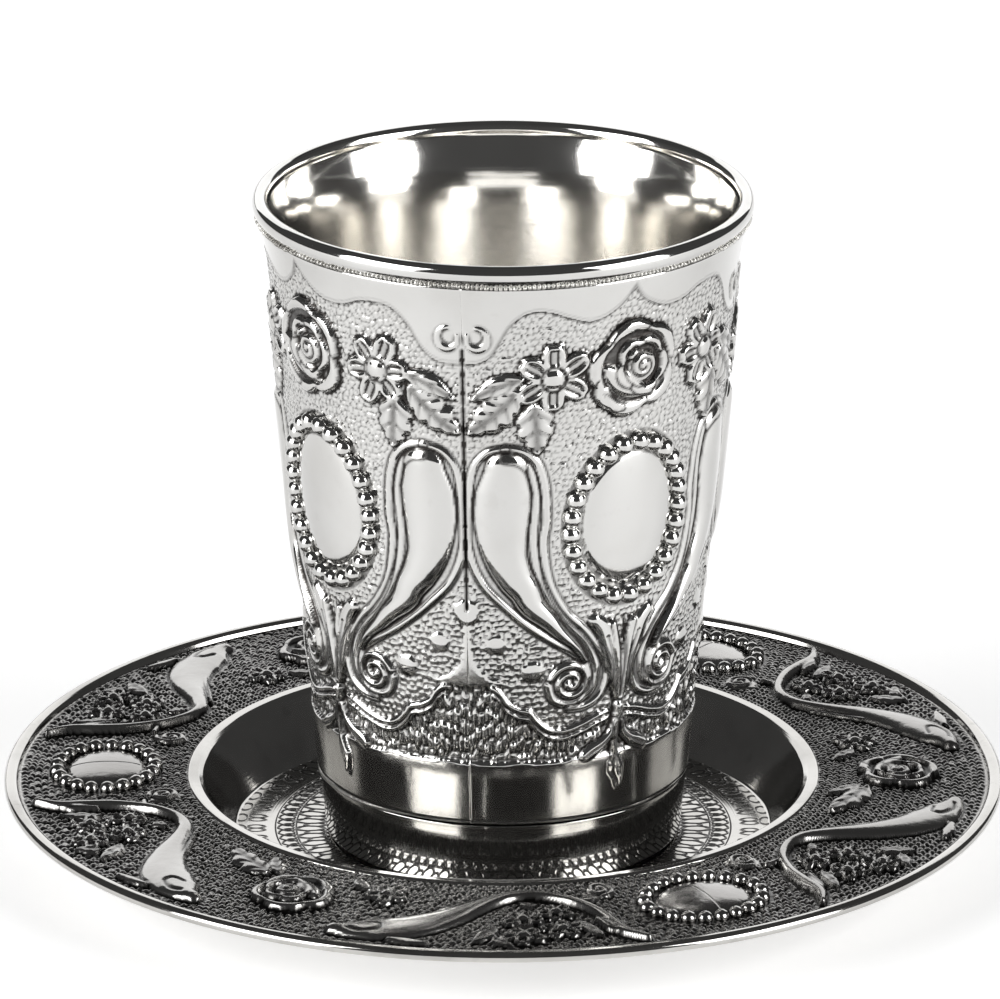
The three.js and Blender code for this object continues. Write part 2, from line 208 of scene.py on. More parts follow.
def scatter(a, b, seed):
    """Two even random numbers for each cell of a grid."""
    first = np.sin(a * 127.1 + b * 311.7 + seed * 17.3) * 43758.5453
    second = np.sin(a * 269.5 + b * 183.3 + seed * 31.9) * 28001.8384
    return first - np.floor(first), second - np.floor(second)


def cells(x, y, pitch, stretch, jitter, seed):
    """A scattered honeycomb: how far the nearest and the next centre are, in pitches, and a random share."""
    px, py = x / pitch, y / (pitch * stretch * ROW_SHARE)
    row, chance = np.floor(py), np.zeros(x.shape)
    first, second = np.full(x.shape, 9.0), np.full(x.shape, 9.0)
    for dy in (-1, 0, 1):
        line = row + dy
        shift = 0.5 * (line % 2)
        column = np.floor(px - shift)
        for dx in (-1, 0, 1):
            cell = column + dx
            ox, oy = scatter(cell, line, seed)
            gx = cell + shift + 0.5 + jitter * (ox - 0.5)
            gy = line + 0.5 + jitter * (oy - 0.5)
            gap = np.hypot(gx - px, (gy - py) * ROW_SHARE)
            second = np.minimum(second, np.maximum(first, gap))
            chance = np.where(gap < first, ox, chance)
            first = np.minimum(first, gap)
    return first, second, chance


def blurred(values, reach):
    """Mean over a square of that reach, in grid steps."""
    out = values
    for axis in (0, 1):
        pad = [(reach + 1, reach) if a == axis else (0, 0) for a in (0, 1)]
        total = np.cumsum(np.pad(out, pad, mode="edge"), axis=axis)
        size = out.shape[axis]
        span = 2 * reach + 1
        high = np.take(total, np.arange(span, span + size), axis=axis)
        low = np.take(total, np.arange(size), axis=axis)
        out = (high - low) / span
    return out


# A rose's petals: start and end in degrees, then the reach, swell, half width and level, as shares of its
# radius, radius, radius and height. The inner ones lie round the bud, which stands off the middle.
ROSE_BUD_OFFSET = 0.12
ROSE_OUTER_PETALS = (
    (62, 142, 0.80, 0.08, 0.125, 0.78), (-8, 72, 0.80, 0.08, 0.125, 0.74), (-78, -2, 0.78, 0.12, 0.15, 0.72),
    (-150, -72, 0.76, 0.14, 0.16, 0.74), (138, 214, 0.80, 0.10, 0.15, 0.72), (196, 250, 0.86, 0.06, 0.13, 0.66),
)  # fmt: skip
ROSE_INNER_PETALS = (
    (150, 235, 0.46, 0.06, 0.09, 0.9), (-120, -40, 0.47, 0.06, 0.09, 0.92), (-45, 40, 0.47, 0.06, 0.1, 0.9),
    (35, 110, 0.47, 0.08, 0.1, 0.95), (95, 165, 0.50, 0.08, 0.09, 0.88), (110, 150, 0.36, 0.02, 0.07, 0.95),
)  # fmt: skip


def spread(half_width, along):
    """A width, or the width at each share along a path where it is a list spread evenly over it."""
    if np.ndim(half_width) == 0:
        return half_width
    return np.interp(along, np.linspace(0, 1, len(half_width)), half_width)


class Chasing:
    """Ornament chased into a flat sheet: x runs across and y up, in millimetres, and heights stand out."""

    def __init__(self, x, y, pitch):
        self.x, self.y, self.pitch = x, y, pitch
        self.form = np.zeros(x.shape)
        self.plain = np.zeros(x.shape)  # 1 where the ground is covered
        self.ink = np.zeros(x.shape)  # 1 where a cut line holds oxide
        self.ground = np.zeros(x.shape)

    def near(self, low_x, high_x, low_y, high_y):
        """The grid points in a rectangle."""
        return np.nonzero((self.x > low_x) & (self.x < high_x) & (self.y > low_y) & (self.y < high_y))

    def near_path(self, path, reach):
        """The grid points in the rectangle round a path, with their distance to it and their share along it."""
        path = np.asarray(path, float)
        (lx, ly), (hx, hy) = path.min(axis=0) - reach, path.max(axis=0) + reach
        where = self.near(lx, hx, ly, hy)
        return where, *nearest(self.x[where], self.y[where], path)

    def lift(self, where, height, inside):
        """Raises the form to the height where that is higher."""
        self.form[where] = np.where(inside, np.maximum(self.form[where], height), self.form[where])
        self.plain[where] = np.maximum(self.plain[where], inside)

    def ridge(self, path, half_width, height, base=0.0, power=0.5, moat=0.0):
        """A ridge along a path; half_width may be a list, spread evenly along it. A moat is a dark ditch."""
        where, gap, along = self.near_path(path, float(np.max(half_width)) + 0.6)
        width = spread(half_width, along)
        q = gap / np.maximum(width, 1e-6)
        if moat:
            edge = (gap >= width) & (gap < width + 0.4) & (width > 0.05)
            depth = moat * (1 - (np.abs(gap - width - 0.15) / 0.25).clip(0, 1))
            low = np.minimum(self.form[where], -depth)
            self.form[where] = np.where(edge & (depth > 0) & (self.form[where] <= 0.12), low, self.form[where])
            self.plain[where] = np.maximum(self.plain[where], edge)
            self.ink[where] = np.maximum(self.ink[where], np.where(edge, depth / moat, 0))
        self.lift(where, base + height * np.clip(1 - q**2, 0, 1) ** power, q < 1)

    def cut(self, path, half_width, depth, ink=1.0):
        """A line cut into whatever is there."""
        where, gap, _ = self.near_path(path, half_width)
        share_in = np.clip(1 - (gap / half_width) ** 2, 0, 1)
        self.form[where] -= depth * share_in
        self.ink[where] = np.maximum(self.ink[where], ink * share_in)

    def wash(self, path, half_width, ink):
        """Sets how much oxide lies along a path; half_width may be a list."""
        where, gap, along = self.near_path(path, float(np.max(half_width)))
        self.ink[where] = np.where(gap < spread(half_width, along), ink, self.ink[where])

    def dome(self, cx, cy, rx, ry, height, power=0.5, base=0.0):
        """An oval dome; the lower the power, the flatter its top."""
        where = self.near(cx - rx - 1, cx + rx + 1, cy - ry - 1, cy + ry + 1)
        q = np.hypot((self.x[where] - cx) / rx, (self.y[where] - cy) / ry)
        self.lift(where, base + height * np.clip(1 - q**2, 0, 1) ** power, q < 1)

    def polar(self, cx, cy, reach):
        """The grid points round a centre, with their distance and direction from it."""
        where = self.near(cx - reach, cx + reach, cy - reach, cy + reach)
        dx, dy = self.x[where] - cx, self.y[where] - cy
        return where, np.hypot(dx, dy), np.arctan2(dy, dx)

    def curl(self, cx, cy, radius, turns, start, hand, half_width, height):
        """A spiral wire that winds inwards."""
        t = np.linspace(0, 1, int(26 * turns))
        angle = start + hand * t * turns * 2 * math.pi
        r = radius * (1 - 0.86 * t)
        path = np.stack([cx + r * np.cos(angle), cy + r * np.sin(angle)], axis=1)
        self.ridge(path, half_width, height, base=0.1, power=0.7)

    def blossom(self, cx, cy, radius, petals, phase, height, eye):
        """An open flower: broad hollow petals with rolled rims round a ball."""
        where, r, angle = self.polar(cx, cy, radius * 1.2)
        best, ink = np.zeros(r.shape), np.zeros(r.shape)
        wide = radius * 0.60 * math.sin(math.pi / petals) * 1.06
        for number in range(petals):
            turn = angle - phase - number * 2 * math.pi / petals
            grow = 1 + 0.08 * math.sin(number * 2.4 + cx)
            out, across = r * np.cos(turn) / grow, r * np.sin(turn)
            notch = 1 - 0.10 * np.exp(-((across / (0.3 * wide)) ** 2))
            q = np.hypot((out - 0.60 * radius) / (0.42 * radius * notch), across / wide)
            rim = np.exp(-(((q - 0.78) / 0.20) ** 2))
            crease = np.exp(-(((np.abs(across) - 0.30 * wide) / 0.13) ** 2))
            crease = crease * (out < 0.86 * radius) * (q < 0.72)
            value = height * (0.5 + 0.5 * rim - 0.3 * crease) * np.clip(1 - q**6, 0, 1) ** 0.6
            higher = (q < 1) & (value > best)
            ink = np.where(higher, np.clip(0.6 * crease + 0.25 * (q < 0.5), 0, 1), ink)
            best = np.where(higher, value, best)
        self.lift(where, best, best > 0.02)
        self.ink[where] = np.where(best > 0.02, ink, self.ink[where])
        where, r, _ = self.polar(cx, cy, eye * 1.4)
        ring = (r > eye) & (r < eye * 1.25)
        self.ink[where] = np.where(ring, 0.8, self.ink[where])
        self.dome(cx, cy, eye, eye, height, base=0.2)
        self.ink[where] = np.where(r < eye, 0.0, self.ink[where])

    def rose(self, cx, cy, radius, height):
        """A full rose: rolled outer petals round a dark hollow, folded inner petals and a wound bud."""
        where, r, _ = self.polar(cx, cy, radius * 1.1)
        hollow = r < radius * 0.9
        self.form[where] = np.where(hollow, height * 0.30, self.form[where])
        self.plain[where] = np.maximum(self.plain[where], hollow)
        self.ink[where] = np.where(hollow, 0.8, self.ink[where])
        bud_x = cx + ROSE_BUD_OFFSET * radius
        for middle_x, petals in ((cx, ROSE_OUTER_PETALS), (bud_x, ROSE_INNER_PETALS)):
            for start, end, reach, swell, wide, level in petals:
                t = np.linspace(0, 1, 15)
                turn = np.radians(start + (end - start) * t)
                out = radius * (reach + swell * np.sin(math.pi * t))
                path = np.stack([middle_x + out * np.cos(turn), cy + out * np.sin(turn)], axis=1)
                half = radius * wide * np.array([0.35, 0.8, 1.0, 0.8, 0.35])
                self.wash(path, half + 0.25, 0.85)
                self.ridge(path, half, height * 0.42, base=height * (level - 0.42), power=0.6)
                self.wash(path, half * 0.9, 0)
            if middle_x == cx:
                # A smooth petal that lies across the lower left
                fold = np.array([(-0.55, -0.2), (0.3, -0.5)]) * radius + (cx, cy)
                self.wash(fold, 0.27 * radius, 0)
                stalk = (cx - 0.74 * radius, cy + 0.10 * radius)
                tip = (cx + 0.42 * radius, cy - 0.62 * radius)
                self.leaf(stalk, tip, 0.27 * radius, height * 0.95, bend=-0.08, veins=0)
        bud = radius * 0.31
        self.wash([(bud_x, cy), (bud_x + 0.01, cy)], bud, 0)
        self.dome(bud_x, cy, bud, bud, height * 0.45, base=height * 0.6, power=0.7)
        t = np.linspace(0, 1, 36)
        wind = 0.9 + t * 3.6 * math.pi
        reach = bud * (1 - 0.85 * t)
        self.cut(np.stack([bud_x + reach * np.cos(wind), cy + reach * np.sin(wind)], axis=1), 0.22, 0.26, 0.8)

    def leaf(self, start, end, half_width, height, lobes=0, bend=0.0, veins=4):
        """A pointed leaf from its stalk to its tip, with a midrib and veins."""
        (sx, sy), (ex, ey) = start, end
        size = math.hypot(ex - sx, ey - sy)
        reach = half_width * 1.3 + 0.5
        low_x, low_y, high_x, high_y = min(sx, ex), min(sy, ey), max(sx, ex), max(sy, ey)
        where = self.near(low_x - reach, high_x + reach, low_y - reach, high_y + reach)
        ux, uy = (ex - sx) / size, (ey - sy) / size
        dx, dy = self.x[where] - sx, self.y[where] - sy
        t = (dx * ux + dy * uy) / size
        s = -dx * uy + dy * ux - bend * size * np.sin(math.pi * np.clip(t, 0, 1))
        inside_run = (t > 0) & (t < 1)
        swell = np.clip(np.sin(math.pi * np.clip(t, 0, 1) ** 0.82), 0, 1) ** 0.75
        edge = half_width * swell
        if lobes:
            wave = (t * lobes - 0.35 * np.abs(s) / half_width) % 1
            edge = edge * (0.74 + 0.3 * np.sin(math.pi * wave) ** 0.6)
        q = np.abs(s) / np.maximum(edge, 1e-6)
        inside = inside_run & (q < 1)
        rib = np.exp(-((s / (0.16 * half_width + 0.12)) ** 2))
        rib = rib * (t > 0.06) * (t < 0.92) * min(veins, 1)
        step = (t * veins - np.abs(s) / half_width * 0.75) % 1
        vein = np.exp(-(((step - 0.5) / 0.14) ** 2)) * (np.abs(s) > 0.12 * half_width) * min(veins, 1)
        body = np.clip(1 - q**2, 0, 1) ** 0.5
        value = height * (body * (0.92 - 0.24 * vein) - 0.3 * rib) + 0.05
        self.lift(where, value, inside)
        marks = np.clip(0.6 * rib + 0.45 * vein * body, 0, 1)
        self.ink[where] = np.where(inside, marks, self.ink[where])

    def finish(self):
        """Heights with their ground, and how much oxide each place holds."""
        soft_plain = blurred(self.plain, 1)
        height = self.form + self.ground * (1 - soft_plain)
        fine = max(int(round(0.45 / self.pitch)), 1)
        wide = max(int(round(1.3 / self.pitch)), 1)
        hollow = (blurred(height, fine) - height - 0.02) / 0.11
        broad = (blurred(height, wide) - height - 0.12) / 0.5
        oxide = np.clip(np.maximum(hollow, broad), 0, 1)
        return height, np.clip(np.maximum(oxide, self.ink), 0, 1)


def averaged(chase, x, y, pitch):
    """Chases a sheet at four points round each grid point and keeps their mean, so thin lines stay smooth."""
    result = Chasing(x, y, pitch)
    quarter = pitch / 4
    for right, up in ((-quarter, -quarter), (-quarter, quarter), (quarter, -quarter), (quarter, quarter)):
        part = chase(x + right, y + up)
        for layer in ("form", "plain", "ink", "ground"):
            setattr(result, layer, getattr(result, layer) + getattr(part, layer) / 4)
    return result


# ---------------------------------------------------------------- the cup's panel

# x is the distance from the panel's middle, y the height over the cup's foot. Except for the top border,
# a path on one side is mirrored on the other.
PEBBLE_PITCH = 0.86
STROKE_PITCH, STROKE_STRETCH = 0.8, 2.9
TOP_BORDER_LEFT = [
    (-1.4, 79.4), (-2.5, 77.6), (-4, 76.3), (-5.5, 75.55), (-7.4, 75.3), (-10, 76.1), (-12, 76.85),
    (-13.7, 77.1), (-15.2, 76.8), (-16.2, 76.1), (-17.2, 75), (-18.3, 72.8), (-19, 71.5), (-20, 70.6),
    (-21.5, 70.2), (-24, 70.2),
]  # fmt: skip
TOP_BORDER_RIGHT = [
    (-1.4, 79.4), (-0.6, 78.2), (0.5, 77.1), (2.3, 76.1), (4.5, 75.6), (7, 75.9), (9.5, 76.8), (12, 77.1),
    (13.8, 76.8), (15, 75.9), (16.2, 74.4), (17.1, 72.6), (18, 71.4), (19, 70.6), (20.5, 70.2), (24, 70.2),
]  # fmt: skip
LOW_BORDER = [
    (24, 30), (20, 29), (18.5, 28), (16.6, 27.2), (15.5, 26.4), (14.5, 25), (13, 24.1), (11.8, 23.8),
    (11, 22.8), (9.5, 21.4), (7.5, 20.9), (5, 21.5), (3, 22.3), (1.6, 22.7),
]  # fmt: skip
BOSS_SPINE = [
    (16.45, 56.2), (16.5, 53), (16.5, 49), (15.9, 45), (14.6, 42), (13.2, 40), (12.1, 38), (10, 36),
    (8.2, 34), (6.4, 32.2), (5.0, 30.2),
]  # fmt: skip
BOSS_WIDTH = [2.5, 3.35, 3.35, 3.0, 2.5, 2.1, 1.75, 1.35, 0.95, 0.55, 0.25]
BOSS_INNER_WIRE = [
    (16.6, 59.1), (14.4, 58.6), (12.6, 57), (11.6, 54.5), (11.2, 52), (11.0, 49), (11.2, 46), (10.2, 41),
    (8, 37), (5.5, 34.5), (3.6, 32), (2.1, 29.5), (1.8, 27.5), (2.6, 25.2), (4.5, 24.0), (6.8, 23.9),
]  # fmt: skip
BOSS_SECOND_WIRE = [
    (16.6, 57.9), (14.9, 57.5), (13.6, 56.2), (12.85, 54), (12.5, 51.5), (12.5, 46.5), (11.5, 42), (9.6, 38),
    (7.4, 35.2), (5.0, 32.6), (3.6, 29.8), (3.4, 27.6), (4.0, 25.9), (5.2, 25.0),
]  # fmt: skip
BOSS_OUTER_WIRE = [
    (16.6, 59.1), (18.8, 58.5), (20.2, 56.8), (20.7, 54.5), (20.8, 50), (20.3, 45.4), (18.5, 41.2), (15.5, 38),
    (12.3, 35.2), (9.2, 33), (6.4, 31.2), (4.8, 29.2), (4.4, 27), (5.0, 25.2), (6.8, 24.5), (8.8, 25.2),
    (9.6, 27.3),
]  # fmt: skip
CLASP_LEAF = [(0.3, 24.4), (0.9, 27.5), (1.5, 30.6), (2.6, 33.6), (3.9, 35.3)]
CLASP_RIB = [(0.1, 24.2), (0.45, 28), (0.9, 31.5), (1.5, 34.6)]
CLASP_CUT = [(0.75, 25.2), (1.2, 29.5), (2.2, 33.0)]
CLASP_MIDDLE = [(0.0, 24.6), (0.35, 28), (0.5, 31), (0.3, 35.2)]
DROP = [(0.0, 23.4), (-0.2, 21), (-0.3, 18), (0.0, 15.6), (0.5, 13.6), (0.5, 12.6)]
DROP_LOBE = [(0.5, 21.4), (0.9, 19.7), (2.2, 18.4), (3.6, 17.6), (4.2, 17.2)]
STEM_HEIGHTS = [26.9, 27.6, 28.3, 29.2, 30.4, 31.5, 37]
STEM_WIDTHS = [5.2, 4.6, 2.9, 1.6, 0.9, 0.6, 0.45]
STEM_KNOB = (37.2, 1.55)  # height and radius
# Middle x and y, then the radii of an oval or the radius of a round ornament
MEDALLION = (0.3, 48.5, 6.75, 8.85)
MEDALLION_BEADS = (0.1, 48.25, 8.05, 10.15)
ROSE = (-0.5, 68.4, 6.2)
BLOSSOM = (11.3, 68.1, 4.75)
SPIRAL = (6.8, 27.4, 2.7)
SEAM_CURL = (1.8, 73.4, 1.25)


def chase_panel(x, y, edge, pitch, seed):
    """One panel of the sleeve. edge is the distance from the panel's middle to its seams."""
    work = Chasing(x, y, pitch)
    from_seam = edge - np.abs(x)
    first, second, chance = cells(x, y, PEBBLE_PITCH, 1.0, 0.75, seed)
    pebble = np.clip((second - first) * 2.3, 0, 1)
    work.ground = 0.36 * np.sqrt(pebble * (2 - pebble)) * (0.65 + 0.35 * chance) - 0.28

    # Vertical strokes under the lower border, longer towards the seams
    low = spline(LOW_BORDER)
    order = np.argsort(low[:, 0])
    low_edge = np.interp(np.abs(x), low[order, 0], low[order, 1])
    first, second, chance = cells(x, y, STROKE_PITCH, STROKE_STRETCH, 0.75, seed + 5)
    stroke = np.clip((second - first) * 2.0, 0, 1)
    strokes = 0.7 * np.sqrt(stroke * (2 - stroke)) * (0.3 + 0.7 * chance) - 0.5
    work.ground = np.where(y < low_edge - 0.3, strokes, work.ground)

    # Plain field over the upper border, and its thin wire
    left, right = spline(TOP_BORDER_LEFT), spline(TOP_BORDER_RIGHT)
    top_path = np.concatenate([left[::-1], right[1:]])
    top_edge = np.interp(x, top_path[:, 0], top_path[:, 1])
    field = y > top_edge
    work.form = np.where(field, 0.04, work.form)
    work.plain = np.where(field, 1.0, work.plain)
    work.ridge(top_path, 0.20, 0.13, base=0.02, power=0.7)
    work.cut(top_path + (0, -0.26), 0.16, 0.08, 0.65)
    work.cut(top_path + (0, 0.22), 0.12, 0.03, 0.3)

    # Stem and foot of plain silver along the seam, with its knob
    stem = (from_seam < np.interp(y, STEM_HEIGHTS, STEM_WIDTHS)) & (y > 27.1 + 0.12 * from_seam) & (y < 38)
    knob = np.hypot(from_seam, y - STEM_KNOB[0]) < STEM_KNOB[1]
    work.form = np.where(stem, 0.16, work.form)
    work.form = np.where(knob, 0.22, work.form)
    work.plain = np.where(stem | knob, 1.0, work.plain)

    for side in (-1, 1):

        def placed(points):
            return spline(np.asarray(points, float) * (side, 1))

        # Big scroll boss with its wires
        work.ridge(placed(BOSS_INNER_WIRE), 0.48, 0.26, base=0.04, power=0.8, moat=0.06)
        work.ridge(placed(BOSS_SECOND_WIRE), 0.40, 0.16, base=0.04, power=0.8, moat=0.04)
        work.ridge(placed(BOSS_OUTER_WIRE), 0.42, 0.26, base=0.04, power=0.8, moat=0.06)
        work.ridge(placed(BOSS_SPINE), BOSS_WIDTH, 1.0, base=0.0, power=0.6, moat=0.03)
        # Spiral at its foot
        cx, cy, reach = SPIRAL
        work.dome(side * cx, cy, reach + 0.3, reach + 0.3, 0.16, power=0.3)
        start = 0.25 if side > 0 else math.pi - 0.25
        work.curl(side * cx, cy, reach - 0.1, 1.9, start, side, 0.42, 0.45)
        # Blossom and its leaves
        bx, by, br = BLOSSOM
        work.leaf((side * 15.4, 66.8), (side * 21.4, 60.9), 2.35, 0.75, lobes=4, bend=-0.04 * side, veins=5)
        work.leaf((side * 14.9, 68.3), (side * 21.2, 65.4), 1.35, 0.7, bend=0.05 * side, veins=3)
        work.leaf((side * 13.5, 65.0), (side * 12.7, 58.2), 2.3, 0.8, lobes=3, veins=3)
        work.blossom(side * bx, by, br, 6, 0.55 if side < 0 else 0.1, 0.75, 1.4)
        # Studs on the ground
        work.dome(side * 16.3, 32.9, 1.3, 1.15, 0.16, power=0.35)
        work.dome(side * 11.6, 29.2, 1.4, 1.3, 0.30, power=0.45)
        # Double wire of the lower border
        border = placed(LOW_BORDER)
        inner = border[border[:, 0] * side < 16.4]
        work.ridge(inner, 0.40, 0.30, base=0.12, power=0.6)
        work.cut(inner + (0, -0.52), 0.24, 0.16)
        work.ridge(inner + (0.0, -0.95), [0.1, 0.3, 0.34, 0.34, 0.2], 0.26, base=0.08, power=0.6)

    # Open curls on both sides of the seam
    sx, sy, reach = SEAM_CURL
    ring = np.hypot(from_seam - sx, (y - sy) * 0.92)
    around = np.arctan2(y - sy, from_seam - sx)
    swell = 0.34 + 0.16 * np.cos(around + 0.9)
    q = np.abs(ring - reach) / swell
    opening = np.clip(1.6 - 2.2 * np.exp(-(((around - 2.2) / 0.5) ** 2)), 0, 1)
    work.form = np.where(q < 1, work.form + 0.26 * opening * np.clip(1 - q**2, 0, 1) ** 0.7, work.form)
    halo = (q >= 0.9) & (q < 1.7) & (ring < reach)
    work.ink = np.where(halo, np.maximum(work.ink, 0.7 * opening), work.ink)

    # Rose, medallion and the clasp between the spirals
    work.rose(*ROSE, 1.05)
    cx, cy, rx, ry = MEDALLION
    bx, by, brx, bry = MEDALLION_BEADS
    q = np.hypot((x - bx) / brx, (y - by) / bry)
    bed = np.abs(q - 1) * brx < 1.25
    work.form = np.where(bed, -0.06, work.form)
    work.plain = np.where(bed, 1.0, work.plain)
    work.ink = np.where(bed, np.maximum(work.ink, 0.55), work.ink)
    work.dome(cx, cy, rx, ry, 0.95, power=0.5, base=0.0)
    for side in (-1, 1):
        paths = (CLASP_LEAF, CLASP_RIB, CLASP_CUT, DROP_LOBE)
        leaf, rib, groove, lobe = (spline(np.asarray(path, float) * (side, 1)) for path in paths)
        work.ridge(leaf, [0.35, 0.75, 1.15, 1.35, 0.9], 0.55, base=0.1, power=0.6)
        work.ridge(rib, [0.3, 0.45, 0.6, 0.4], 0.62, base=0.12, power=0.6)
        work.cut(groove, 0.2, 0.14, 0.5)
        # Lobes of the drop that hangs over the band
        work.ridge(lobe, [0.3, 0.5, 0.6, 0.95, 0.8], 0.5, base=0.25, power=0.6, moat=0.08)
        work.cut(lobe[4:], 0.2, 0.16, 0.8)
    work.cut(spline(CLASP_MIDDLE), 0.22, 0.25, 0.8)
    drop = spline(DROP)
    work.ridge(drop, [0.6, 0.5, 0.4, 0.45, 1.15, 0.5], 0.62, base=0.28, power=0.6, moat=0.08)
    work.cut(drop[6:24], 0.16, 0.12, 0.7)
    seam_groove(work, from_seam, y)
    return work


def seam_groove(work, from_seam, y):
    """The dark joint between two panels, from the curls down to the knob."""
    rough = 0.5 + 0.5 * np.sin(2.1 * y + 1.3 * np.sin(0.9 * y)) * np.sin(0.7 * y)
    width = 0.16 + 0.16 * rough
    inside = (from_seam < width) & (y > 37.4) & (y < 72.0)
    work.form = np.where(inside, np.minimum(work.form, -0.1), work.form)
    work.plain = np.where(inside, 1.0, work.plain)
    work.ink = np.where(inside, 1.0, work.ink)


# ---------------------------------------------------------------- the brim's sector

# Places are the angle from the middle of a rose in degrees, and the radius. They are mirrored on the
# other side of the rose, apart from the leaves and the small flower next to it.
SCROLL_SPINE = [
    (10.2, 57.2), (12.0, 56.9), (14.2, 56.1), (17, 54.9), (20, 53.3), (24, 50.2), (27, 47.4), (30, 45.1),
    (33, 43.9), (37, 44.1), (41, 46), (44, 49.5), (45.3, 53), (46.2, 56.6), (48.2, 59.2),
]  # fmt: skip
SCROLL_WIDTH = [1.1, 2.7, 3.0, 2.7, 2.2, 1.7, 1.3, 1.05, 0.8, 0.75, 0.75, 0.9, 0.95, 0.8, 0.4]
SCROLL_OUTLINE = [(13.0, 54.2), (17, 52.9), (21, 50.0), (24.5, 46.9), (28.5, 44.1)]
SCROLL_BUD = [(11.9, 57.4), (13.6, 57.6), (15.6, 56.6), (15.4, 55.4), (13.6, 55.2)]
SCROLL_ARM = [(43.4, 52.2), (44.8, 54.6), (46.9, 57.4)]
SCROLL_LINK = [(40, 45.4), (42.4, 46.2), (44.6, 46.1)]
SCROLL_CURL = (46.5, 43.3, 1.95)
# Angle, radius, size and turn of each bloom; both ends and half width of each leaf between them
BLOOMS = ((33.5, 56.2, 2.5, 0.2), (38.6, 54.4, 2.5, 0.9), (33.6, 51.2, 2.5, 0.5), (38.4, 49.3, 2.3, 1.4))
BLOOM_LEAVES = (
    ((30.0, 53.4), (27.4, 57.8), 1.1), ((29.6, 56.6), (32.2, 59.0), 0.9), ((35.6, 47.2), (33.2, 45.8), 0.8),
    ((41.0, 52.2), (43.4, 57.2), 0.9),
)  # fmt: skip
BRIM_MEDALLION = (60.0, 49.8, 6.0, 4.8)
BRIM_BEADS = (60.0, 49.8, 7.55, 6.15)
BRIM_ROSE = (0, 49.6, 5.1)
BRIM_MIDDLE = 50.0
BRIM_INNER, BRIM_OUTER = 39.3, 60.7  # radii of the chased sheet
GRANULES_INNER, GRANULES_OUTER = 39.5, 60.4


def brim_path(points, side):
    """Degrees and radius to the flat sheet's x and y."""
    path = spline(np.asarray(points, float) * (side, 1))
    return np.stack([np.radians(path[:, 0]) * BRIM_MIDDLE, path[:, 1]], axis=1)


def along_brim(degrees):
    """Length of an arc at the middle of the brim."""
    return math.radians(degrees) * BRIM_MIDDLE


def brim_spot(place, side=1):
    """One place in degrees and radius to the flat sheet's x and y."""
    return along_brim(place[0]) * side, place[1]


def chase_sector(x, y, saucer, pitch, seed):
    """One third of the brim: a rose with a scroll to each side, and half a medallion at each end."""
    work = Chasing(x, y, pitch)
    first, second, chance = cells(x, y, mm(saucer.granule_pitch), 1.0, 0.30, seed)
    grain = np.sqrt(np.clip(1 - (first / 0.47) ** 2, 0, 1))
    work.ground = 0.42 * grain * (0.75 + 0.25 * chance) - 0.26
    work.plain = np.where((y > GRANULES_OUTER) | (y < GRANULES_INNER), 1.0, work.plain)
    for side in (-1, 1):
        # Scroll with a bulb at one end, and the curl that it holds
        work.ridge(brim_path(SCROLL_SPINE, side), SCROLL_WIDTH, 0.95, base=0.05, power=0.6, moat=0.12)
        work.ridge(brim_path(SCROLL_OUTLINE, side), [0.2, 0.45, 0.45, 0.4, 0.2], 0.45, base=0.1)
        work.cut(brim_path(SCROLL_BUD, side), 0.3, 0.22, 0.6)
        work.ridge(brim_path(SCROLL_ARM, side), [0.3, 1.0, 0.35], 0.7, base=0.15)
        work.ridge(brim_path(SCROLL_LINK, side), 0.42, 0.5, base=0.1)
        cx, cy = brim_spot(SCROLL_CURL, side)
        work.dome(cx, cy, 2.3, 2.2, 0.2, power=0.3)
        work.curl(cx, cy, SCROLL_CURL[2], 1.8, math.pi / 2, -side, 0.42, 0.5)
        # Blooms in the scroll's hollow
        for degrees, radius, reach, turn in BLOOMS:
            work.blossom(along_brim(degrees) * side, radius, reach, 5, turn, 0.85, 0.75)
        for stalk, tip, wide in BLOOM_LEAVES:
            work.leaf(brim_spot(stalk, side), brim_spot(tip, side), wide, 0.6, veins=3)
        # Small shell by the bulb, at the edge
        shell_x = along_brim(19.5) * side
        shell = [(shell_x - 1.8 * side, 58.4), (shell_x + 1.9 * side, 58.9)]
        work.ridge(shell, [0.5, 0.9, 0.4], 0.5, base=0.1)
        # Half of a medallion
        cx, cy = brim_spot(BRIM_MEDALLION, side)
        _, _, beads_round, beads_out = BRIM_BEADS
        q = np.hypot((x - cx) / beads_round, (y - cy) / beads_out)
        bed = np.abs(q - 1) * beads_out < 1.1
        work.form = np.where(bed, -0.05, work.form)
        work.plain = np.where(bed, 1.0, work.plain)
        work.ink = np.where(bed, np.maximum(work.ink, 0.8), work.ink)
        work.dome(cx, cy, *BRIM_MEDALLION[2:], 0.95, power=0.55, base=0.05)
    work.leaf(brim_spot((7.2, 46.0)), brim_spot((19.5, 43.0)), 1.9, 0.75, lobes=3, veins=4)
    work.leaf(brim_spot((6.4, 45.0)), brim_spot((11.5, 41.2)), 1.1, 0.6, veins=3)
    work.blossom(*brim_spot((-13, 45.4)), 2.9, 5, 0.4, 0.8, 0.9)
    work.leaf(brim_spot((-9.5, 44.6)), brim_spot((-5.5, 41.8)), 1.0, 0.6, veins=3)
    work.rose(*BRIM_ROSE, 1.2)
    return work


# ---------------------------------------------------------------- meshes


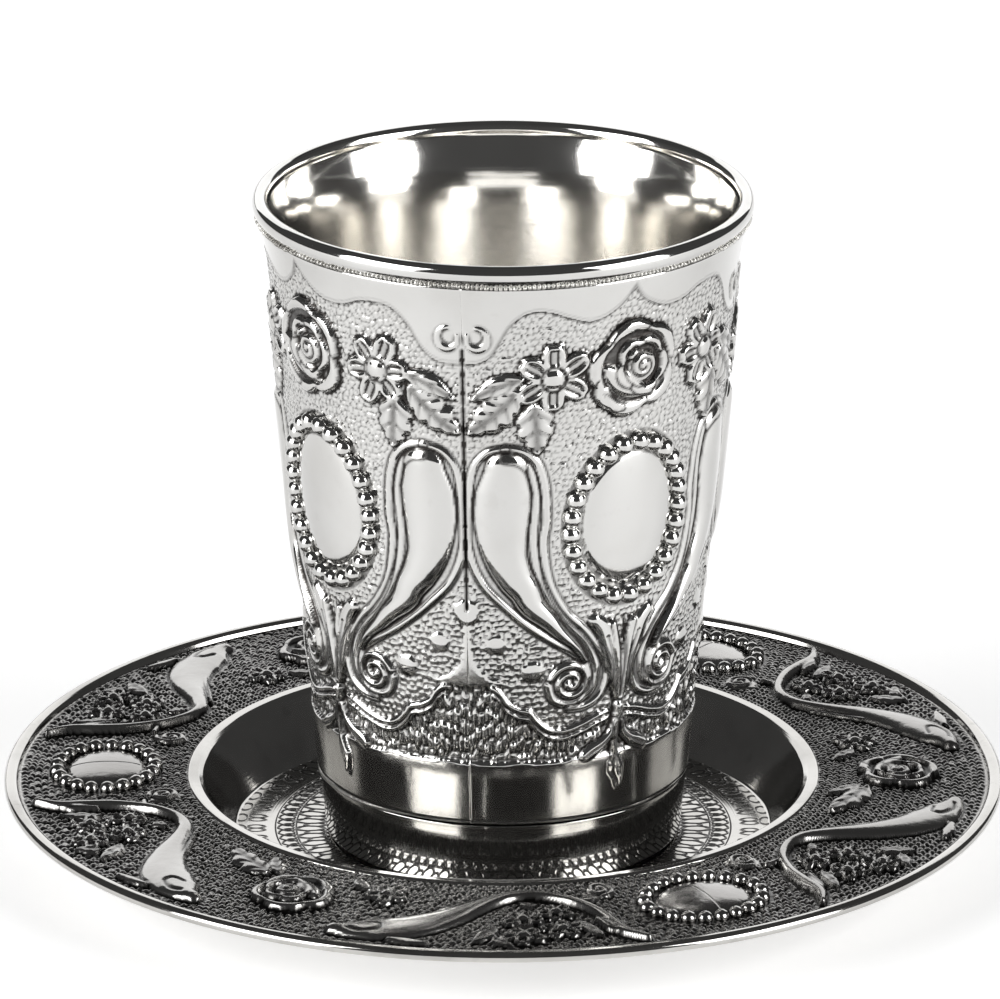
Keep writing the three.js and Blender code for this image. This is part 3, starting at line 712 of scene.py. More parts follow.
def new_piece(name, points, faces, material, flat=(), attributes=None, sharp=None):
    """A mesh object in metres from points in millimetres. Faces in flat, by number, are not smoothed."""
    mesh = bpy.data.meshes.new(name)
    mesh.from_pydata((np.asarray(points, float) * MM).tolist(), [], faces)
    smooth = np.ones(len(mesh.polygons), bool)
    smooth[list(flat)] = False
    mesh.polygons.foreach_set("use_smooth", smooth)
    for key, values in (attributes or {}).items():
        layer = mesh.attributes.new(key, "FLOAT", "POINT")
        layer.data.foreach_set("value", np.asarray(values, np.float32).ravel())
    if sharp is not None:
        mesh.set_sharp_from_angle(angle=math.radians(sharp))
    mesh.materials.append(material)
    mesh.validate()
    mesh.update()
    piece = bpy.data.objects.new(name, mesh)
    bpy.context.scene.collection.objects.link(piece)
    return piece


def rounded(profile, radius, steps):
    """A closed profile of (radius, height) with its corners rounded. A third number is that corner's radius."""
    out = []
    count = len(profile)
    for i, corner in enumerate(profile):
        before, here, after = (np.array(profile[(i + k) % count][:2], float) for k in (-1, 0, 1))
        want = corner[2] if len(corner) > 2 else radius
        a, b = before - here, after - here
        la, lb = np.linalg.norm(a), np.linalg.norm(b)
        if want <= 0 or here[0] <= 1e-9 or la < 1e-9 or lb < 1e-9:
            out.append(tuple(here))
            continue
        a, b = a / la, b / lb
        half = math.acos(float(np.clip(a @ b, -1, 1))) / 2
        if half > math.radians(86):
            out.append(tuple(here))
            continue
        run = min(want / math.tan(half), la * 0.45, lb * 0.45)
        start, end = here + a * run, here + b * run
        for t in np.linspace(0, 1, steps + 1):
            out.append(tuple((1 - t) ** 2 * start + 2 * t * (1 - t) * here + t**2 * end))
    return out


def turned(name, profile, material, steps, base=0.0, sharp=50, wobble=None):
    """A closed shell turned from a closed profile, given anticlockwise: up the outside, down the inside.

    wobble gives how far an angle's points move outwards and up."""
    points, rings = [], []
    angles = np.arange(steps) * 2 * math.pi / steps
    for radius, height in profile:
        if radius < 1e-6:
            rings.append([len(points)])
            points.append((0, 0, base + height))
            continue
        rings.append(list(range(len(points), len(points) + steps)))
        for angle in angles:
            outwards, up = wobble(angle) if wobble else (0, 0)
            reach = radius + outwards
            points.append((reach * math.cos(angle), reach * math.sin(angle), base + height + up))
    faces = []
    for low, high in zip(rings, rings[1:] + rings[:1]):
        if len(low) == 1 and len(high) == 1:
            continue
        for i in range(steps):
            j = (i + 1) % steps
            if len(low) == 1:
                faces.append((low[0], high[j], high[i]))
            elif len(high) == 1:
                faces.append((low[i], low[j], high[0]))
            else:
                faces.append((low[i], low[j], high[j], high[i]))
    return new_piece(name, points, faces, material, sharp=sharp)


def shell_sheet(name, surface, backing, material, attributes):
    """A closed sheet. surface and backing are grids of points (rows, columns, 3) with the same columns; the
    backing has fewer rows, so each of the two side walls is a single face."""
    rows, columns = surface.shape[:2]
    number = np.arange(rows * columns).reshape(rows, columns)
    front = np.stack([number[:-1, :-1], number[:-1, 1:], number[1:, 1:], number[1:, :-1]], axis=-1)
    front = front.reshape(-1, 4)
    back_rows = backing.shape[0]
    back = np.arange(back_rows * columns).reshape(back_rows, columns) + rows * columns
    rear = np.stack([back[:-1, :-1], back[1:, :-1], back[1:, 1:], back[:-1, 1:]], axis=-1)
    rear = rear.reshape(-1, 4)
    faces = front.tolist() + rear.tolist()
    sides = []
    for i in range(columns - 1):
        sides.append((number[0, i + 1], number[0, i], back[0, i], back[0, i + 1]))
        sides.append((number[-1, i], number[-1, i + 1], back[-1, i + 1], back[-1, i]))
    sides.append([*number[:, 0], *back[::-1, 0]])
    sides.append([*number[::-1, -1], *back[:, -1]])
    faces += [[int(v) for v in side] for side in sides]
    flat = range(len(front), len(faces))
    points = np.concatenate([surface.reshape(-1, 3), backing.reshape(-1, 3)])
    spare = back_rows * columns
    values = {key: np.concatenate([v.ravel(), np.zeros(spare)]) for key, v in attributes.items()}
    return new_piece(name, points, faces, material, flat=flat, attributes=values)


# ---------------------------------------------------------------- shader maths


class Value:
    """A socket that takes part in maths written as Python expressions."""

    def __init__(self, finish, socket):
        self.finish, self.socket = finish, socket

    def maths(self, operation, *operands):
        sockets = dict(enumerate(operands))
        return self.finish.node("ShaderNodeMath", {"operation": operation}, sockets)

    def __add__(self, other):
        return self.maths("ADD", self, other)

    __radd__ = __add__

    def __sub__(self, other):
        return self.maths("SUBTRACT", self, other)

    def __rsub__(self, other):
        return self.maths("SUBTRACT", other, self)

    def __mul__(self, other):
        return self.maths("MULTIPLY", self, other)

    __rmul__ = __mul__

    def __truediv__(self, other):
        return self.maths("DIVIDE", self, other)

    def __gt__(self, other):
        return self.maths("GREATER_THAN", self, other)

    def __lt__(self, other):
        return self.maths("LESS_THAN", self, other)

    def __abs__(self):
        return self.maths("ABSOLUTE", self)

    def fraction(self):
        return self.maths("FRACT", self)

    def root(self):
        return self.maths("SQRT", self)

    def least(self, other):
        return self.maths("MINIMUM", self, other)

    def most(self, other):
        return self.maths("MAXIMUM", self, other)

    def kept(self):
        """Held between 0 and 1."""
        return self.least(1.0).most(0.0)

    def step(self, low, high):
        """Rises smoothly from 0 at low to 1 at high."""
        settings = {"interpolation_type": "SMOOTHSTEP"}
        sockets = {"Value": self, "From Min": low, "From Max": high}
        return self.finish.node("ShaderNodeMapRange", settings, sockets)


class Finish:
    """A procedural surface: its nodes, and the maths between them."""

    def __init__(self, name):
        self.material = bpy.data.materials.new(name)
        self.material.use_nodes = True
        self.tree = self.material.node_tree
        self.tree.nodes.clear()

    def node(self, kind, settings=None, sockets=None, output=0):
        """Adds a node, sets it up, then fills its sockets with values or links."""
        made = self.tree.nodes.new(kind)
        for key, value in (settings or {}).items():
            setattr(made, key, value)
        for key, value in (sockets or {}).items():
            if isinstance(value, Value):
                self.tree.links.new(value.socket, made.inputs[key])
            else:
                made.inputs[key].default_value = value
        return Value(self, made.outputs[output]) if made.outputs else None

    def place(self):
        """Position on the object, in metres."""
        return self.node("ShaderNodeTexCoord", output="Object")

    def parts(self, vector):
        split = self.node("ShaderNodeSeparateXYZ", sockets={0: vector})
        return [Value(self, out) for out in split.socket.node.outputs]

    def stretched(self, vector, x, y, z):
        return self.node("ShaderNodeVectorMath", {"operation": "MULTIPLY"}, {0: vector, 1: (x, y, z)})

    def noise(self, scale, detail=3.0, vector=None):
        sockets = {"Vector": vector or self.place(), "Scale": scale, "Detail": detail, "Roughness": 0.55}
        return self.node("ShaderNodeTexNoise", sockets=sockets)

    def held(self, name):
        """A number kept on the mesh's points."""
        return self.node("ShaderNodeAttribute", {"attribute_name": name}, output="Fac")

    def mix(self, factor, first, second):
        """A colour between two colours."""

        def filled(value):
            return value if isinstance(value, Value) else (*value[:3], 1)

        sockets = {0: factor, 6: filled(first), 7: filled(second)}
        made = self.node("ShaderNodeMix", {"data_type": "RGBA"}, sockets)
        return Value(self, made.socket.node.outputs[2])

    def bump(self, height, distance, strength=1.0, under=None):
        sockets = {"Height": height, "Distance": distance, "Strength": strength}
        if under:
            sockets["Normal"] = under
        return self.node("ShaderNodeBump", sockets=sockets)

    def shade(self, base, roughness, normal=None, metallic=1.0, glow=0.0):
        sockets = {"Base Color": base, "Roughness": roughness, "Metallic": metallic}
        if glow:
            sockets |= {"Emission Color": (1, 1, 1, 1), "Emission Strength": glow}
        if normal:
            sockets["Normal"] = normal
        if not isinstance(base, Value):
            sockets["Base Color"] = (*base, 1)
        shader = self.node("ShaderNodeBsdfPrincipled", sockets=sockets)
        self.node("ShaderNodeOutputMaterial", sockets={"Surface": shader})
        return self.material


def tarnish(finish, base, dark, amount):
    """The metal's colour with faint clouds of tarnish."""
    clouds = finish.noise(70, 4).step(0.42, 0.75)
    spots = finish.noise(420, 3).step(0.58, 0.78)
    return finish.mix((clouds * amount + spots * (amount * 0.6)).kept(), base, dark)


def beaker_finish(look):
    """Polished silver with faint spun lines, warmer inside the cup."""
    finish = Finish("beaker_silver")
    place = finish.place()
    x, y, z = finish.parts(place)
    radius = (x * x + y * y).root()
    wall = (z - CUP_BASE * MM) * WALL_SLOPE + bpy.context.scene.kiddush_cup.foot_radius
    inside = (wall - radius).step(0.0004, 0.0008)
    lines = finish.noise(1.0, 4, finish.stretched(place, 14, 14, 2600))
    wide_lines = finish.noise(1.0, 2, finish.stretched(place, 9, 9, 420))
    base = finish.mix(inside, tuple(look.silver), tuple(look.inside))
    base = tarnish(finish, base, (0.34, 0.32, 0.29), 0.16)
    depth = (CUP_BOX[1].z - z).step(0.004, 0.05)
    rough = look.polish * (0.6 + 0.6 * lines) + inside * (0.03 + 0.26 * depth)
    normal = finish.bump(lines * 0.5 + wide_lines, 0.00005, 0.15)
    dents = finish.noise(130, 2)
    normal = finish.bump(dents, 0.0004, 0.10, normal)
    return finish.shade(base, rough, normal)


def sleeve_finish(look):
    """Chased silver with oxide in its recesses."""
    finish = Finish("sleeve_silver")
    oxide = finish.held("oxide")
    worn = finish.noise(900, 3)
    dark = (oxide * 1.15 + (worn - 0.5) * 0.5 * oxide.step(0.05, 0.6)).kept()
    base = tarnish(finish, tuple(look.silver), (0.36, 0.34, 0.31), 0.18)
    base = finish.mix(dark, base, tuple(look.oxide))
    rough = look.polish + 0.03 * finish.noise(300, 3) + 0.3 * dark
    normal = finish.bump(finish.noise(260, 3), 0.00022, 0.10)
    return finish.shade(base, rough, normal)


def bead_finish(look, name, tint):
    """Beads in their tint, with faint clouds of dark tarnish and a fine bumpy surface."""
    finish = Finish(name)
    base = tarnish(finish, tuple(tint), tuple(look.oxide), 0.20)
    normal = finish.bump(finish.noise(650, 3), 0.0003, 0.3)
    return finish.shade(base, look.polish * 0.8 + 0.08 * finish.noise(800, 2), normal)


def solder_finish(look):
    """A rough, matt line of solder."""
    finish = Finish("solder_silver")
    base = tarnish(finish, (0.62, 0.61, 0.58), (0.12, 0.11, 0.10), 0.7)
    rough = 0.28 + 0.2 * finish.noise(500, 3)
    return finish.shade(base, rough, finish.bump(finish.noise(1500, 3), 0.0003, 0.6))


def oxidised_finish(look):
    """The brim: dark oxidised silver, rubbed brighter on what stands out."""
    finish = Finish("brim_oxidised_silver")
    oxide = finish.held("oxide")
    ground = finish.held("ground")
    patches = finish.noise(55, 4).step(0.35, 0.72)
    dark = (oxide * 1.1 + ground * 0.28 + patches * 0.14).kept()
    base = finish.mix(patches * 0.35, tuple(look.saucer), (0.20, 0.19, 0.18))
    base = finish.mix(dark, base, (0.018, 0.017, 0.016))
    rough = look.polish + 0.06 + 0.07 * finish.noise(420, 3) + 0.12 * dark
    normal = finish.bump(finish.noise(500, 3), 0.00025, 0.22)
    return finish.shade(base, rough, normal)


def engraved_floor(finish, x, y, radius):
    """Lines cut in the well's floor: a chain of links, pairs of small rings and a flamed inner ring."""
    angle = finish.node("ShaderNodeMath", {"operation": "ARCTAN2"}, {0: y, 1: x})

    def ovals(count, middle, reach_in, reach_round, line, offset=0.0):
        turn = (angle * (count / (2 * math.pi)) + offset + 100).fraction() - 0.5
        across = turn * (2 * math.pi * middle / count) / reach_round
        outwards = (radius * 1000 - middle) / reach_in
        q = (across * across + outwards * outwards).root()
        return 1 - abs(q - 1).step(0.0, line / min(reach_in, reach_round))

    def circle(middle, line):
        return 1 - abs(radius * 1000 - middle).step(0.0, line)

    marks = ovals(96, 27.3, 0.95, 0.85, 0.22)
    marks = marks.most(ovals(96, 26.9, 0.6, 0.45, 0.2, 0.5))
    marks = marks.most(ovals(54, 31.0, 1.0, 0.55, 0.2)).most(ovals(54, 31.0, 1.0, 0.55, 0.2, 0.33))
    marks = marks.most(ovals(54, 33.0, 0.7, 1.2, 0.2, 0.15))
    marks = marks.most(circle(26.0, 0.16)).most(circle(28.6, 0.12))
    marks = marks.most(ovals(60, 24.2, 1.7, 0.8, 0.24)).most(ovals(60, 23.6, 1.2, 0.55, 0.22, 0.5))
    return marks.kept() * (radius * 1000 < 33.4)


def saucer_finish(look):
    """Rubbed silver of the saucer's well and rolled edge, with the engraved floor."""
    finish = Finish("saucer_rubbed_silver")
    place = finish.place()
    x, y, z = finish.parts(place)
    radius = (x * x + y * y).root()
    floor_height = bpy.context.scene.kiddush_saucer.sheet
    on_floor = (z > floor_height * 0.88) * (z < floor_height * 1.12)
    cuts = engraved_floor(finish, x, y, radius) * on_floor
    base = tarnish(finish, tuple(look.saucer_bright), (0.16, 0.15, 0.14), 0.35)
    base = finish.mix(cuts, base, (0.05, 0.047, 0.045))
    rings = finish.node("ShaderNodeCombineXYZ", sockets={0: radius * 3000, 1: z * 3000})
    spun = finish.noise(1.0, 3, rings)
    rough = look.polish + 0.03 * finish.noise(350, 3) + 0.2 * cuts
    normal = finish.bump(1 - cuts, 0.00012, 0.6)
    normal = finish.bump(spun, 0.00004, 0.25, normal)
    return finish.shade(base, rough, normal)


# ---------------------------------------------------------------- Geometry Nodes


def repeated_along(name, paths, settings, material):
    """Beads set along closed paths by Geometry Nodes, then kept as a plain mesh.

    paths are lists of points in millimetres. settings holds the beads' radius in metres, their count on each
    path, the unevenness of their sizes and their facets."""
    points, edges = [], []
    for path in paths:
        start = len(points)
        points += [tuple(np.asarray(p) * MM) for p in path]
        edges += [(start + i, start + (i + 1) % len(path)) for i in range(len(path))]
    mesh = bpy.data.meshes.new(name)
    mesh.from_pydata(points, edges, [])
    carrier = bpy.data.objects.new(name, mesh)
    bpy.context.scene.collection.objects.link(carrier)

    tree = bpy.data.node_groups.new(f"{name}_set_along_path", "GeometryNodeTree")
    face = tree.interface
    face.new_socket("Paths", in_out="INPUT", socket_type="NodeSocketGeometry")
    inputs = {}
    for label, kind in (
        ("Bead radius", "NodeSocketFloat"),
        ("Beads on each path", "NodeSocketInt"),
        ("Unevenness", "NodeSocketFloat"),
        ("Facets", "NodeSocketInt"),
        ("Finish", "NodeSocketMaterial"),
    ):
        inputs[label] = face.new_socket(label, in_out="INPUT", socket_type=kind)
    face.new_socket("Beads", in_out="OUTPUT", socket_type="NodeSocketGeometry")
    nodes, links = tree.nodes, tree.links
    given = nodes.new("NodeGroupInput")
    out = nodes.new("NodeGroupOutput")

    def added(kind, links_in, **options):
        made = nodes.new(kind)
        for key, value in options.items():
            setattr(made, key, value)
        for key, source in links_in.items():
            if isinstance(source, bpy.types.NodeSocket):
                links.new(source, made.inputs[key])
            else:
                made.inputs[key].default_value = source
        return made

    curve = added("GeometryNodeMeshToCurve", {"Mesh": given.outputs["Paths"]})
    spaced = added(
        "GeometryNodeResampleCurve", {"Curve": curve.outputs[0], "Count": given.outputs["Beads on each path"]}
    )
    ball = added(
        "GeometryNodeMeshUVSphere",
        {"Segments": given.outputs["Facets"], "Rings": 8, "Radius": given.outputs["Bead radius"]},
    )
    least = added("ShaderNodeMath", {0: 1.0, 1: given.outputs["Unevenness"]}, operation="SUBTRACT")
    most = added("ShaderNodeMath", {0: 1.0, 1: given.outputs["Unevenness"]}, operation="ADD")
    low = added("ShaderNodeCombineXYZ", {i: least.outputs[0] for i in range(3)})
    high = added("ShaderNodeCombineXYZ", {i: most.outputs[0] for i in range(3)})
    sizes = added(
        "FunctionNodeRandomValue", {"Min": low.outputs[0], "Max": high.outputs[0], "Seed": 7},
        data_type="FLOAT_VECTOR",
    )  # fmt: skip
    turns = added(
        "FunctionNodeRandomValue", {"Min": (0.0, 0.0, 0.0), "Max": (6.28, 6.28, 6.28), "Seed": 11},
        data_type="FLOAT_VECTOR",
    )  # fmt: skip
    beads = added(
        "GeometryNodeInstanceOnPoints",
        {"Points": spaced.outputs[0], "Instance": ball.outputs[0], "Rotation": turns.outputs[0],
         "Scale": sizes.outputs[0]},
    )  # fmt: skip
    real = added("GeometryNodeRealizeInstances", {"Geometry": beads.outputs[0]})
    smooth = added("GeometryNodeSetShadeSmooth", {"Geometry": real.outputs[0]})
    finished = added(
        "GeometryNodeSetMaterial", {"Geometry": smooth.outputs[0], "Material": given.outputs["Finish"]}
    )
    links.new(finished.outputs[0], out.inputs[0])

    modifier = carrier.modifiers.new("Set along path", "NODES")
    modifier.node_group = tree
    values = {
        "Bead radius": settings["radius"],
        "Beads on each path": settings["count"],
        "Unevenness": settings["unevenness"],
        "Facets": settings["facets"],
        "Finish": material,
    }
    for label, value in values.items():
        modifier[inputs[label].identifier] = value
    graph = bpy.context.evaluated_depsgraph_get()
    made = bpy.data.meshes.new_from_object(carrier.evaluated_get(graph))
    carrier.modifiers.clear()
    carrier.data = made
    made.name = name
    bpy.data.meshes.remove(mesh)
    if not made.materials:
        made.materials.append(material)
    return carrier


def kept_as(piece, node):
    """Rides on the body and stands for the CAD node, which it hides."""
    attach(piece, "root")
    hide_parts(node)


def grid_pitch():
    """Step of the chased grids, in millimetres."""
    return GRID_PITCH


def lathe_steps():
    """Number of steps round a turned piece."""
    return LATHE_STEPS


# ---------------------------------------------------------------- operators


class KIDDUSH_OT_beaker(bpy.types.Operator):
    """Builds the plain inner beaker with its rolled lip and foot"""

    bl_idname = "kiddush.beaker"
    bl_label = "Inner beaker"

    def execute(self, context):
        cup, look = context.scene.kiddush_cup, context.scene.kiddush_finish
        material = beaker_finish(look)
        sheet, under_sleeve = mm(cup.beaker_sheet), mm(cup.sleeve_sheet) + 0.3
        half_w, half_h = mm(cup.lip_half_width), mm(cup.lip_half_height)
        top = mm(CUP_BOX[1].z) - CUP_BASE
        lip_z = top - half_h
        lip_r = float(wall_radius(lip_z, cup)) - half_w
        bottom, under = mm(cup.sleeve_bottom) - 0.1, mm(cup.sleeve_top) + 0.1

        def wall(height, inwards=0.0):
            return float(wall_radius(height, cup)) - inwards

        profile = [(0, 0.8, 0), (19.6, 0.8, 0.5), (20.7, 0.0, 0.35), (21.9, 0.0, 0.3), (wall(0.5), 0.45, 0.35)]
        profile += [(wall(h), h, 0) for h in np.linspace(1.5, bottom - 0.4, 5)]
        profile += [(wall(bottom), bottom, 0.1), (wall(bottom, under_sleeve), bottom + 0.05, 0)]
        profile += [(wall(h, under_sleeve), h, 0) for h in np.linspace(12, 78, 8)]
        profile += [(wall(under, under_sleeve), under, 0), (wall(under, 0.06), under + 0.05, 0.1)]
        profile += [(wall(under + 0.25, 0.06), under + 0.3, 0)]
        for degrees in range(-40, 190, 12):
            a = math.radians(degrees)
            profile.append((lip_r + half_w * math.cos(a), lip_z + half_h * math.sin(a), 0))
        inner = under_sleeve + sheet
        heights = np.concatenate([np.linspace(lip_z - 0.6, 60, 14), np.linspace(57, 6, 16)])
        profile += [(wall(h, inner), h, 0) for h in heights]
        floor = 2.0
        profile += [(wall(floor, inner), floor, 2.6), (14, floor, 0), (7, floor, 0), (0, floor, 0)]
        beaker = turned("beaker_shell", rounded(profile, 0.12, 6), material, lathe_steps(), CUP_BASE)
        kept_as(beaker, "inner_beaker")
        return {"FINISHED"}


class KIDDUSH_OT_sleeve(bpy.types.Operator):
    """Builds the embossed sleeve as four chased panels, with its solder lines"""

    bl_idname = "kiddush.sleeve"
    bl_label = "Embossed sleeve"

    def execute(self, context):
        cup, look = context.scene.kiddush_cup, context.scene.kiddush_finish
        material = sleeve_finish(look)
        solder = solder_finish(look)
        pitch = grid_pitch()
        bottom, band, top = mm(cup.sleeve_bottom), mm(cup.band_top), mm(cup.sleeve_top)
        half = math.pi / CUP_PANELS
        columns = int(round(2 * half * float(wall_radius(48, cup)) / pitch / 2)) * 2 + 1
        angles = np.linspace(-half, half, columns)
        low_rows = np.linspace(bottom, 12.0, 8)[:-1]
        high_rows = np.linspace(78.4, top, 6)
        rows = np.concatenate([low_rows, np.arange(12.0, 78.4 - pitch / 2, pitch), high_rows])
        angle_grid, y = np.meshgrid(angles, rows)
        radius = wall_radius(y, cup)
        x, edge = angle_grid * radius, half * radius
        for panel in range(CUP_PANELS):
            work = averaged(lambda u, v: chase_panel(u, v, edge, pitch, seed=panel * 3 + 1), x, y, pitch)
            height, oxide = work.finish()
            # The polished band rises over the ground with a soft step; the drop's foot hangs over it
            on_band = np.clip((band + 0.12 * np.sin(x * 0.9) - y) / 0.35, 0, 1)
            lifted = mm(cup.band_proud) * on_band
            bare = on_band * (work.form < 0.2)
            height = np.where(bare > 0, height * (1 - bare) + lifted * bare, height)
            oxide = oxide * (1 - bare)
            rim = np.exp(-(((y - band - 0.15) / 0.25) ** 2)) * (work.form < 0.2)
            oxide = np.clip(np.maximum(oxide, 0.8 * rim), 0, 1)
            ease = np.clip((y - bottom) / 0.4, 0, 1) * np.clip((top - y) / 0.4, 0, 1)
            out = radius + height * np.sqrt(ease) - 0.15 * (1 - ease)
            turn = CUP_SEAM + half + 2 * half * panel + angle_grid
            surface = np.stack([out * np.cos(turn), out * np.sin(turn), y + CUP_BASE], axis=-1)
            back_y = np.array([bottom, 17.0, 45.0, 73.0, 76.0, 78.5, top])[:, None]
            back_radius = wall_radius(back_y, cup) - mm(cup.sleeve_sheet)
            back_turn = turn[:1]
            backing = np.stack(
                np.broadcast_arrays(
                    back_radius * np.cos(back_turn), back_radius * np.sin(back_turn), back_y + CUP_BASE
                ),
                axis=-1,
            )
            attributes = {"oxide": oxide, "ground": np.clip(1 - work.plain, 0, 1) * (1 - on_band)}
            piece = shell_sheet(f"sleeve_panel_{panel + 1}", surface, backing, material, attributes)
            kept_as(piece, "embossed_sleeve")

        # Rough line of solder between the sleeve and the lip
        level, count = top + 0.22, 330
        ring = [
            (float(wall_radius(level, cup)) * math.cos(a), float(wall_radius(level, cup)) * math.sin(a),
             level + CUP_BASE + 0.10 * math.sin(5 * a) + 0.06 * math.sin(17 * a))
            for a in np.arange(count) * 2 * math.pi / count
        ]  # fmt: skip
        settings = {"radius": 0.26 * MM, "count": count, "unevenness": 0.35, "facets": 8}
        line = repeated_along("upper_solder_line", [ring], settings, solder)
        kept_as(line, "embossed_sleeve")

        # Thin wavy line of solder where the band meets the foot
        def wavy(angle):
            lean = 0.35 * math.sin(angle + 2.4) + 0.16 * math.sin(3 * angle + 0.7) + 0.07 * math.sin(11 * angle)
            return 0.03 * math.sin(23 * angle), lean

        low = bottom + 0.25
        r = float(wall_radius(low, cup)) - 0.02
        bead = [(r + 0.27 * math.cos(a), low + 0.3 * math.sin(a)) for a in np.arange(10) * 2 * math.pi / 10]
        line = turned("lower_solder_line", bead, solder, lathe_steps(), CUP_BASE, sharp=180, wobble=wavy)
        kept_as(line, "embossed_sleeve")
        return {"FINISHED"}


class KIDDUSH_OT_cup_beads(bpy.types.Operator):
    """Sets the beads round the four medallions of the cup"""

    bl_idname = "kiddush.cup_beads"
    bl_label = "Beads of the cup"

    def execute(self, context):
        cup, look = context.scene.kiddush_cup, context.scene.kiddush_finish
        bx, by, brx, bry = MEDALLION_BEADS
        paths = []
        for panel in range(CUP_PANELS):
            middle = CUP_SEAM + (2 * panel + 1) * math.pi / CUP_PANELS
            path = []
            for t in np.arange(96) * 2 * math.pi / 96:
                y = by + bry * math.sin(t)
                radius = float(wall_radius(y, cup))
                angle = middle + (bx + brx * math.cos(t)) / radius
                out = radius + 0.12
                path.append((out * math.cos(angle), out * math.sin(angle), y + CUP_BASE))
            paths.append(path)
        settings = {"radius": cup.bead_radius, "count": cup.bead_count, "unevenness": 0.05, "facets": 14}
        material = bead_finish(look, "cup_bead_silver", look.silver)
        beads = repeated_along("cup_medallion_beads", paths, settings, material)
        kept_as(beads, "embossed_sleeve")
        return {"FINISHED"}


class KIDDUSH_OT_saucer(bpy.types.Operator):
    """Builds the saucer's well, bevel, plain edge and underside"""

    bl_idname = "kiddush.saucer"
    bl_label = "Saucer"

    def execute(self, context):
        saucer, look = context.scene.kiddush_saucer, context.scene.kiddush_finish
        sheet, floor_r = mm(saucer.sheet), mm(saucer.floor_radius)
        bevel, outer = mm(saucer.bevel_radius), mm(SAUCER_BOX[1].x)
        border = mm(saucer.border_width) / 2
        edge_r = outer - border

        def brim(radius, lift=0.0):
            return float(brim_height(radius, saucer)) + lift

        profile = [
            (0, 0, 0), (floor_r + 0.2, 0, 1.0), (bevel - 0.7, brim(bevel, -sheet), 0.8),
            (60.2, brim(60.2, -sheet), 0.3),
        ]  # fmt: skip
        for degrees in range(-130, 156, 15):
            a = math.radians(degrees)
            profile.append((edge_r + border * math.cos(a), brim(edge_r) + 0.02 + 0.75 * math.sin(a), 0))
        profile += [(60.7, brim(60.7, 0.02), 0), (60.4, brim(60.4, -0.4), 0), (39.7, brim(39.7, -0.4), 0)]
        profile += [(39.5, brim(39.5, 0.1), 0), (39.2, brim(39.2, 0.22), 0.2)]
        profile.append((bevel - 1.0, brim(bevel, 0.14), 0.4))
        profile += [(37.6, brim(bevel, -0.35), 0.5), (floor_r + 0.1, sheet, 0.6), (20, sheet, 0), (0, sheet, 0)]
        body = turned("saucer_body", rounded(profile, 0.12, 5), saucer_finish(look), lathe_steps())
        kept_as(body, "saucer")
        return {"FINISHED"}


class KIDDUSH_OT_brim(bpy.types.Operator):
    """Builds the chased brim in three sectors"""

    bl_idname = "kiddush.brim"
    bl_label = "Embossed brim"

    def execute(self, context):
        saucer, look = context.scene.kiddush_saucer, context.scene.kiddush_finish
        material = oxidised_finish(look)
        pitch = grid_pitch()
        half = math.pi / SAUCER_SECTORS
        columns = int(round(2 * half * BRIM_MIDDLE / pitch / 2)) * 2 + 1
        # Seen from above with the rim up, x runs clockwise
        angles = np.linspace(half, -half, columns)
        rows = np.linspace(BRIM_INNER, BRIM_OUTER, int(round(21.4 / pitch)) + 1)
        angle_grid, radius = np.meshgrid(angles, rows)
        x = -angle_grid * BRIM_MIDDLE
        for sector in range(SAUCER_SECTORS):
            work = averaged(lambda u, v: chase_sector(u, v, saucer, pitch, seed=sector + 2), x, radius, pitch)
            height, oxide = work.finish()
            ease = np.clip((radius - BRIM_INNER) / 0.5, 0, 1) * np.clip((BRIM_OUTER - radius) / 0.5, 0, 1)
            z = brim_height(radius, saucer) + height * ease - 0.05
            turn = SAUCER_ROSE + sector * 2 * half + angle_grid
            surface = np.stack([radius * np.cos(turn), radius * np.sin(turn), z], axis=-1)
            back_r = np.array([BRIM_INNER, BRIM_MIDDLE, BRIM_OUTER])[:, None]
            back_turn = turn[:1]
            backing = np.stack(
                np.broadcast_arrays(
                    back_r * np.cos(back_turn), back_r * np.sin(back_turn), brim_height(back_r, saucer) - 0.55
                ),
                axis=-1,
            )
            surface, backing = surface[:, ::-1], backing[:, ::-1]
            attributes = {"oxide": oxide[:, ::-1], "ground": np.clip(1 - work.plain, 0, 1)[:, ::-1]}
            # Rows run outwards here, so the order of the rows is turned to keep the faces up
            surface, backing = surface[::-1], backing[::-1]
            attributes = {key: value[::-1] for key, value in attributes.items()}
            piece = shell_sheet(f"brim_sector_{sector + 1}", surface, backing, material, attributes)
            kept_as(piece, "saucer")
        return {"FINISHED"}


class KIDDUSH_OT_brim_beads(bpy.types.Operator):
    """Sets the beads round the three medallions of the brim"""

    bl_idname = "kiddush.brim_beads"
    bl_label = "Beads of the brim"

    def execute(self, context):
        saucer, look = context.scene.kiddush_saucer, context.scene.kiddush_finish
        _, middle_r, reach_round, reach_out = BRIM_BEADS
        paths = []
        for sector in range(SAUCER_SECTORS):
            middle = SAUCER_ROSE + (2 * sector + 1) * math.pi / SAUCER_SECTORS
            path = []
            for t in np.arange(72) * 2 * math.pi / 72:
                radius = middle_r + reach_out * math.sin(t)
                angle = middle + reach_round * math.cos(t) / BRIM_MIDDLE
                z = float(brim_height(radius, saucer)) + 0.15
                path.append((radius * math.cos(angle), radius * math.sin(angle), z))
            paths.append(path)
        settings = {"radius": saucer.bead_radius, "count": saucer.bead_count, "unevenness": 0.06, "facets": 12}
        material = bead_finish(look, "brim_bead_silver", look.saucer)
        beads = repeated_along("brim_medallion_beads", paths, settings, material)
        kept_as(beads, "saucer")
        return {"FINISHED"}


